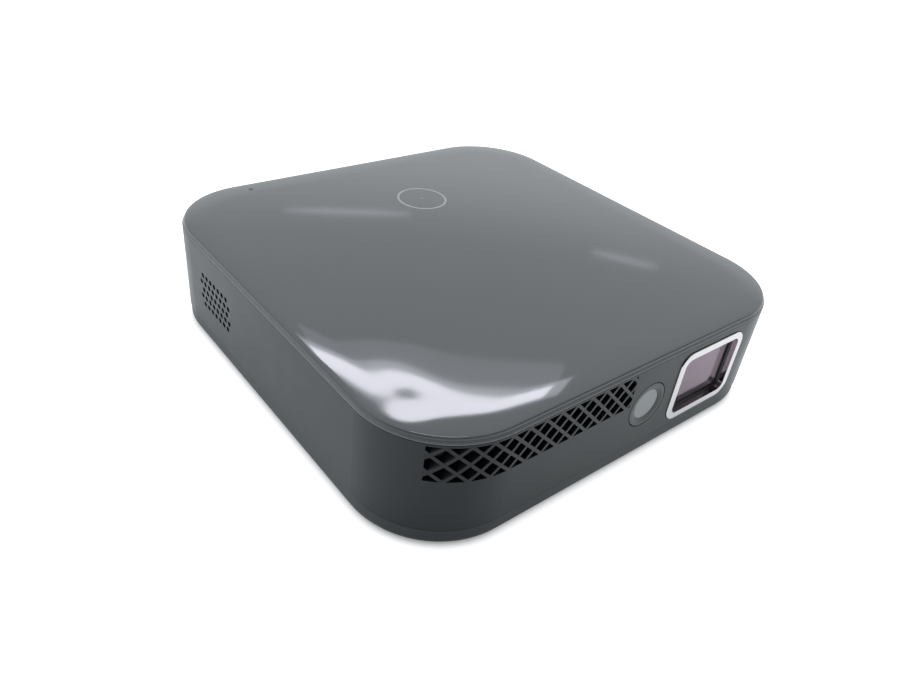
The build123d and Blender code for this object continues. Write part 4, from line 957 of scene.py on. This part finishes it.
# ---------------------------------------------------------------- window
# Chrome-plated frame pressed into the front wall round a coated cover glass, with a black seal laid
# on the glass. A matt black baffle leads from the lens to it.
chrome_colour = (0.68, 0.64, 0.65)
glass_colour = (0.60, 0.48, 0.56)
glass_tint = (1.0, 0.52, 0.80, 1.0)
glass_index = 1.74
glass_through = 0.9
seal_x = 30.9
seal_z = 19.27
seal_width = 24.7
seal_height = 18.7
seal_corner = 2.35
seal_band = 0.75
seal_glass_y = -70.71
seal_thickness = 0.45
seal_round = 0.12
seal_steps = 8

chrome = grained(
    "chrome",
    chrome_colour,
    0.05,
    spread=0.03,
    gloss_spread=0.02,
    patch=4.0,
    grain=1.0,
    depth=0.0004,
    metallic=1.0,
)
give(chrome, "window_frame")
baffle_black = grained(
    "baffle_black", (0.010, 0.010, 0.011), 0.8, patch=4.0, grain=0.3, depth=0.004
)
give(baffle_black, "light_baffle")
window_coated = clear("window_coated", glass_colour, glass_index, glass_through, spread=0.04)
window_coated.node_tree.nodes["Principled BSDF"].inputs["Specular Tint"].default_value = glass_tint
give(window_coated, "window_glass")


def seal_ring(inset, y):
    """Ring of points round the seal, some way in from its outline."""
    points = []
    for turn, (side_x, side_z) in enumerate(((1, -1), (1, 1), (-1, 1), (-1, -1))):
        middle_x = seal_x + side_x * (seal_width / 2 - seal_corner)
        middle_z = seal_z + side_z * (seal_height / 2 - seal_corner)
        reach = seal_corner - inset
        for step in range(seal_steps + 1):
            sweep = math.pi / 2 * (turn - 1 + step / seal_steps)
            points.append(
                (middle_x + reach * math.cos(sweep), y, middle_z + reach * math.sin(sweep))
            )
    return points


seal_front_y = seal_glass_y - seal_thickness
section = (
    (0.0, seal_glass_y),
    (0.0, seal_front_y + seal_round),
    (seal_round, seal_front_y),
    (seal_band - seal_round, seal_front_y),
    (seal_band, seal_front_y + seal_round),
    (seal_band, seal_glass_y),
)
seal = bmesh.new()
loops = [[seal.verts.new(point) for point in seal_ring(inset, y)] for inset, y in section]
for loop, following in zip(loops, loops[1:] + loops[:1]):
    for i, vert in enumerate(loop):
        j = (i + 1) % len(loop)
        seal.faces.new((vert, loop[j], following[j], following[i]))
seal_rubber = grained(
    "seal_rubber", (0.008, 0.008, 0.009), 0.45, patch=2.0, grain=0.15, depth=0.004
)
finished("glass_seal", seal, seal_rubber)

# ---------------------------------------------------------------- sensor
# Round smoked bezel set in the front wall beside the window, near black behind its flange as painted
# shade in the gap round it. It holds a pale diffusing disc of plastic in front of the sensor's
# board.
bezel_flange_y = -71.4
bezel_gap_shade = (0.004, 0.004, 0.005)

bezel_plastic = grained(
    "bezel_plastic", (0.045, 0.048, 0.050), 0.3, patch=3.0, grain=0.15, depth=0.002
)
tree = bezel_plastic.node_tree
axes = node(
    tree, "ShaderNodeSeparateXYZ", {0: node(tree, "ShaderNodeTexCoord").outputs["Object"]}
)
# painted shade: near black behind the flange, in the gap round the bezel
gap_shade_share = maths(tree, "GREATER_THAN", axes.outputs["Y"], bezel_flange_y * mm)
overlaid(bezel_plastic, gap_shade_share, bezel_gap_shade)
give(bezel_plastic, "sensor_bezel")
disc_plastic = grained(
    "disc_plastic", (0.38, 0.395, 0.395), 0.3, spread=0.05, patch=3.0, grain=0.15, depth=0.002
)
give(disc_plastic, "sensor_window")

# ---------------------------------------------------------------- speaker
# Small oblong speaker behind the holes of the left wall: a foam gasket, a steel basket, a paper
# cone and a magnet, with black cloth over its front.
cloth_middle = Vector((-70.31, 29.9, 19.275))
cloth_width = 21.6
cloth_height = 13.2
cloth_pitch = 0.6
cloth_thread = 0.09

gasket_foam = grained("gasket_foam", (0.016, 0.016, 0.017), 0.9, patch=1.0, grain=0.3, depth=0.06)
give(gasket_foam, "speaker_gasket")
basket_steel = grained(
    "basket_steel", (0.10, 0.10, 0.105), 0.45, patch=3.0, grain=0.2, depth=0.004, metallic=0.8
)
give(basket_steel, "speaker_frame")
cone_paper = grained("cone_paper", (0.022, 0.022, 0.022), 0.85, patch=1.2, grain=0.15, depth=0.02)
give(cone_paper, "speaker_cone")
magnet_nickel = grained(
    "magnet_nickel", (0.45, 0.45, 0.46), 0.25, patch=4.0, grain=0.2, depth=0.002, metallic=1.0
)
give(magnet_nickel, "speaker_magnet")
cloth_black = grained("cloth_black", (0.014, 0.014, 0.015), 0.9, patch=1.5, grain=0.08, depth=0.01)
cloth_mesh = grown(
    woven("thread_weave", cloth_black),
    Width=cloth_width,
    Depth=cloth_height,
    Pitch=cloth_pitch,
    Wire=cloth_thread,
)
facing_left = Matrix.Rotation(math.pi / 2, 4, "Z") @ Matrix.Rotation(math.pi / 2, 4, "X")
cloth_mesh.transform(Matrix.Translation(cloth_middle) @ facing_left)
finished("speaker_cloth", cloth_mesh, cloth_black)

# ---------------------------------------------------------------- housing
# The ring-shaped wall between the base and the lid, moulded in one piece in dark grey with a satin
# texture. The tool's parting leaves a faint line where the left wall meets the corner.
housing_colour = (0.018, 0.022, 0.025)
parting_y = -46.5
parting_width = 0.22
parting_lift = 1.5

case_plastic = grained("case_plastic", housing_colour, 0.32, grain=0.22, depth=0.003, ior=1.40)
tree = case_plastic.node_tree
axes = node(
    tree, "ShaderNodeSeparateXYZ", {0: node(tree, "ShaderNodeTexCoord").outputs["Object"]}
)
off = maths(tree, "ABSOLUTE", maths(tree, "ADD", axes.outputs["Y"], -parting_y * mm))
line = ranged(tree, off, (0.0, parting_lift), (parting_width * mm, 1.0), "LINEAR")
left = maths(tree, "LESS_THAN", axes.outputs["X"], 0.0)
lift = node(tree, "ShaderNodeMix", {"Factor": left, "A": 1.0, "B": line})
tinted = node(
    tree,
    "ShaderNodeVectorMath",
    {0: tree.nodes["tint"].outputs["Result"], "Scale": lift.outputs["Result"]},
    {"operation": "SCALE"},
)
tree.links.new(tinted.outputs[0], tree.nodes["Principled BSDF"].inputs["Base Color"])
give(case_plastic, "housing")

# ---------------------------------------------------------------- grille
# Lattice of the housing's plastic that lets the blower's air out round the front-left corner. The
# bars are flush with the wall and as deep as it.
grille_colour = (0.014, 0.016, 0.020)

grille_plastic = grained("grille_plastic", grille_colour, 0.34, grain=0.2, depth=0.003, ior=1.40)
give(grille_plastic, "front_grille")

# ---------------------------------------------------------------- trim ring
# Narrow ring between the housing and the lid, stamped and painted in a dark metallic grey. It is
# held between the two, and its chamfer catches the light under the lid's edge.
trim_colour = (0.16, 0.165, 0.17)

trim_paint = grained(
    "trim_paint", trim_colour, 0.4, spread=0.12, patch=3.0, grain=0.08, depth=0.001, metallic=0.2
)
give(trim_paint, "trim_ring")

# ---------------------------------------------------------------- status light
# Smoked acrylic pin, moulded and pressed into the lid near its rear left corner. It is dark while
# it is off.
light_smoke = clear("light_smoke", (0.010, 0.011, 0.013), ior=1.49, through=0.3)
give(light_smoke, "status_light")

# ---------------------------------------------------------------- lid
# Glossy grey lid, moulded and polished. It falls a little towards its edge and has sunk near one
# corner, which bends what it mirrors. A skirt fits inside the housing, and four posts take the
# cover screws.
lid_colour = (0.094, 0.103, 0.108)
lid_half = 72.0
lid_corner = 25.5
lid_top = 35.0
lid_low = 33.8
lid_edge_round = 0.55
lid_crown_band = 8.16
lid_crown_drop = 0.286
lid_dip = 0.02
skirt_outer = 1.65
skirt_inner = 2.85
skirt_low = 31.45
post_reach = 57.0
post_radius = 3.6
post_bore = 1.15
post_low = 9.0
post_bore_top = 16.8
post_overlap = 0.2
post_steps = 32
# x, y, depth and width of each soft dip, and of a rise, whose depth is below zero
sinks = ((-63.8, -45.0, 0.251, 9.6), (-63.8, -53.9, 0.25, 5.07), (-51.4, -52.6, -0.041, 6.24))
wave_depth = 0.022
wave_length = 13.0
wave_band = 26.0
wave_slice = 0.7
corner_steps = 26
side_steps = 26
fine_rings = 26
fine_reach = 0.45
coarse_rings = 14
edge_steps = 6
lid_roughness = 0.054
lid_gloss_spread = 0.010


def outline(inset):
    """Points of the lid's rounded square, anticlockwise from the left end of the front side."""
    half, corner = lid_half - inset, lid_corner - inset
    straight = half - corner
    points = []
    for turn in range(4):
        angle = math.pi / 2 * turn - math.pi / 2
        along = Vector((math.cos(angle + math.pi / 2), math.sin(angle + math.pi / 2)))
        out = Vector((math.cos(angle), math.sin(angle)))
        for step in range(side_steps):
            points.append(out * half + along * straight * (2 * step / side_steps - 1))
        middle = out * straight + along * straight
        for step in range(corner_steps):
            sweep = angle + math.pi / 2 * step / corner_steps
            points.append(middle + Vector((math.cos(sweep), math.sin(sweep))) * corner)
    return points


def inside(x, y):
    """Distance in from the lid's outline."""
    qx, qy = abs(x) - (lid_half - lid_corner), abs(y) - (lid_half - lid_corner)
    return lid_corner - math.hypot(max(qx, 0.0), max(qy, 0.0)) - min(max(qx, qy), 0.0)


def lid_height(x, y):
    """Height of the polished face: flat, lower towards the edge, bent by the dips, a little wavy."""
    near = max(0.0, 1 - inside(x, y) / lid_crown_band)
    height = lid_top - lid_dip - lid_crown_drop * near**2
    for sink_x, sink_y, depth, width in sinks:
        off = math.hypot(x - sink_x, y - sink_y) / width
        height -= depth * math.exp(-off * off / 2)
    fade = max(0.0, 1 - inside(x, y) / wave_band)
    wave = noise.noise(Vector((x / wave_length, y / wave_length, wave_slice)))
    return height - wave_depth * fade * (wave + 1) / 2


lid_rings = []
for inset, z in (
    (skirt_inner, lid_low),
    (skirt_inner, skirt_low),
    (skirt_outer, skirt_low),
    (skirt_outer, lid_low),
    (0.0, lid_low),
):
    lid_rings.append([(p.x, p.y, z) for p in outline(inset)])
for step in range(edge_steps + 1):
    sweep = math.pi / 2 * step / edge_steps
    inset = lid_edge_round * (1 - math.cos(sweep))
    down = lid_edge_round * (1 - math.sin(sweep))
    lid_rings.append([(p.x, p.y, lid_height(p.x, p.y) - down) for p in outline(inset)])
shares = [1 - fine_reach * (k / fine_rings) for k in range(1, fine_rings + 1)]
shares += [(1 - fine_reach) * (1 - k / coarse_rings) for k in range(1, coarse_rings)]
for share in shares:
    ring = [p * share for p in outline(lid_edge_round)]
    lid_rings.append([(p.x, p.y, lid_height(p.x, p.y)) for p in ring])
lid_shape = lofted(lid_rings)
angles = [2 * math.pi * k / post_steps for k in range(post_steps)]
post_profile = (
    (post_bore, post_bore_top),
    (post_bore, post_low),
    (post_radius, post_low),
    (post_radius, lid_low + post_overlap),
)
for sx, sy in corners:
    post = [
        [(sx * post_reach + r * math.cos(a), sy * post_reach + r * math.sin(a), z) for a in angles]
        for r, z in post_profile
    ]
    joined(lid_shape, lofted(post))
lid_plastic = grained(
    "lid_plastic",
    lid_colour,
    lid_roughness,
    spread=0.03,
    gloss_spread=lid_gloss_spread,
    patch=26.0,
    grain=2.5,
    depth=0.0004,
)
finished("lid", lid_shape, lid_plastic, replaced=("top_cover",))

# ---------------------------------------------------------------- touch ring
# Ring and dot printed in pale grey on the lid over the touch board. The ink is thin and satin, and
# the dot, where the finger lands, is worn faint.
ring_ink = grained(
    "ring_ink", (0.34, 0.35, 0.36), 0.35, spread=0.12, patch=2.5, grain=0.2, depth=0.001
)
give(ring_ink, "touch_ring")
dot_ink = grained(
    "dot_ink", (0.17, 0.175, 0.18), 0.35, spread=0.12, patch=0.5, grain=0.2, depth=0.001
)
give(dot_ink, "touch_dot")

# ---------------------------------------------------------------- cover screws
# Four cross-head steel screws, zinc-plated and blackened, driven from below through the base into
# the lid's posts.
screw_black = grained(
    "screw_black", (0.07, 0.07, 0.075), 0.32, patch=1.0, grain=0.1, depth=0.002, metallic=1.0
)
give(screw_black, "cover_screws")
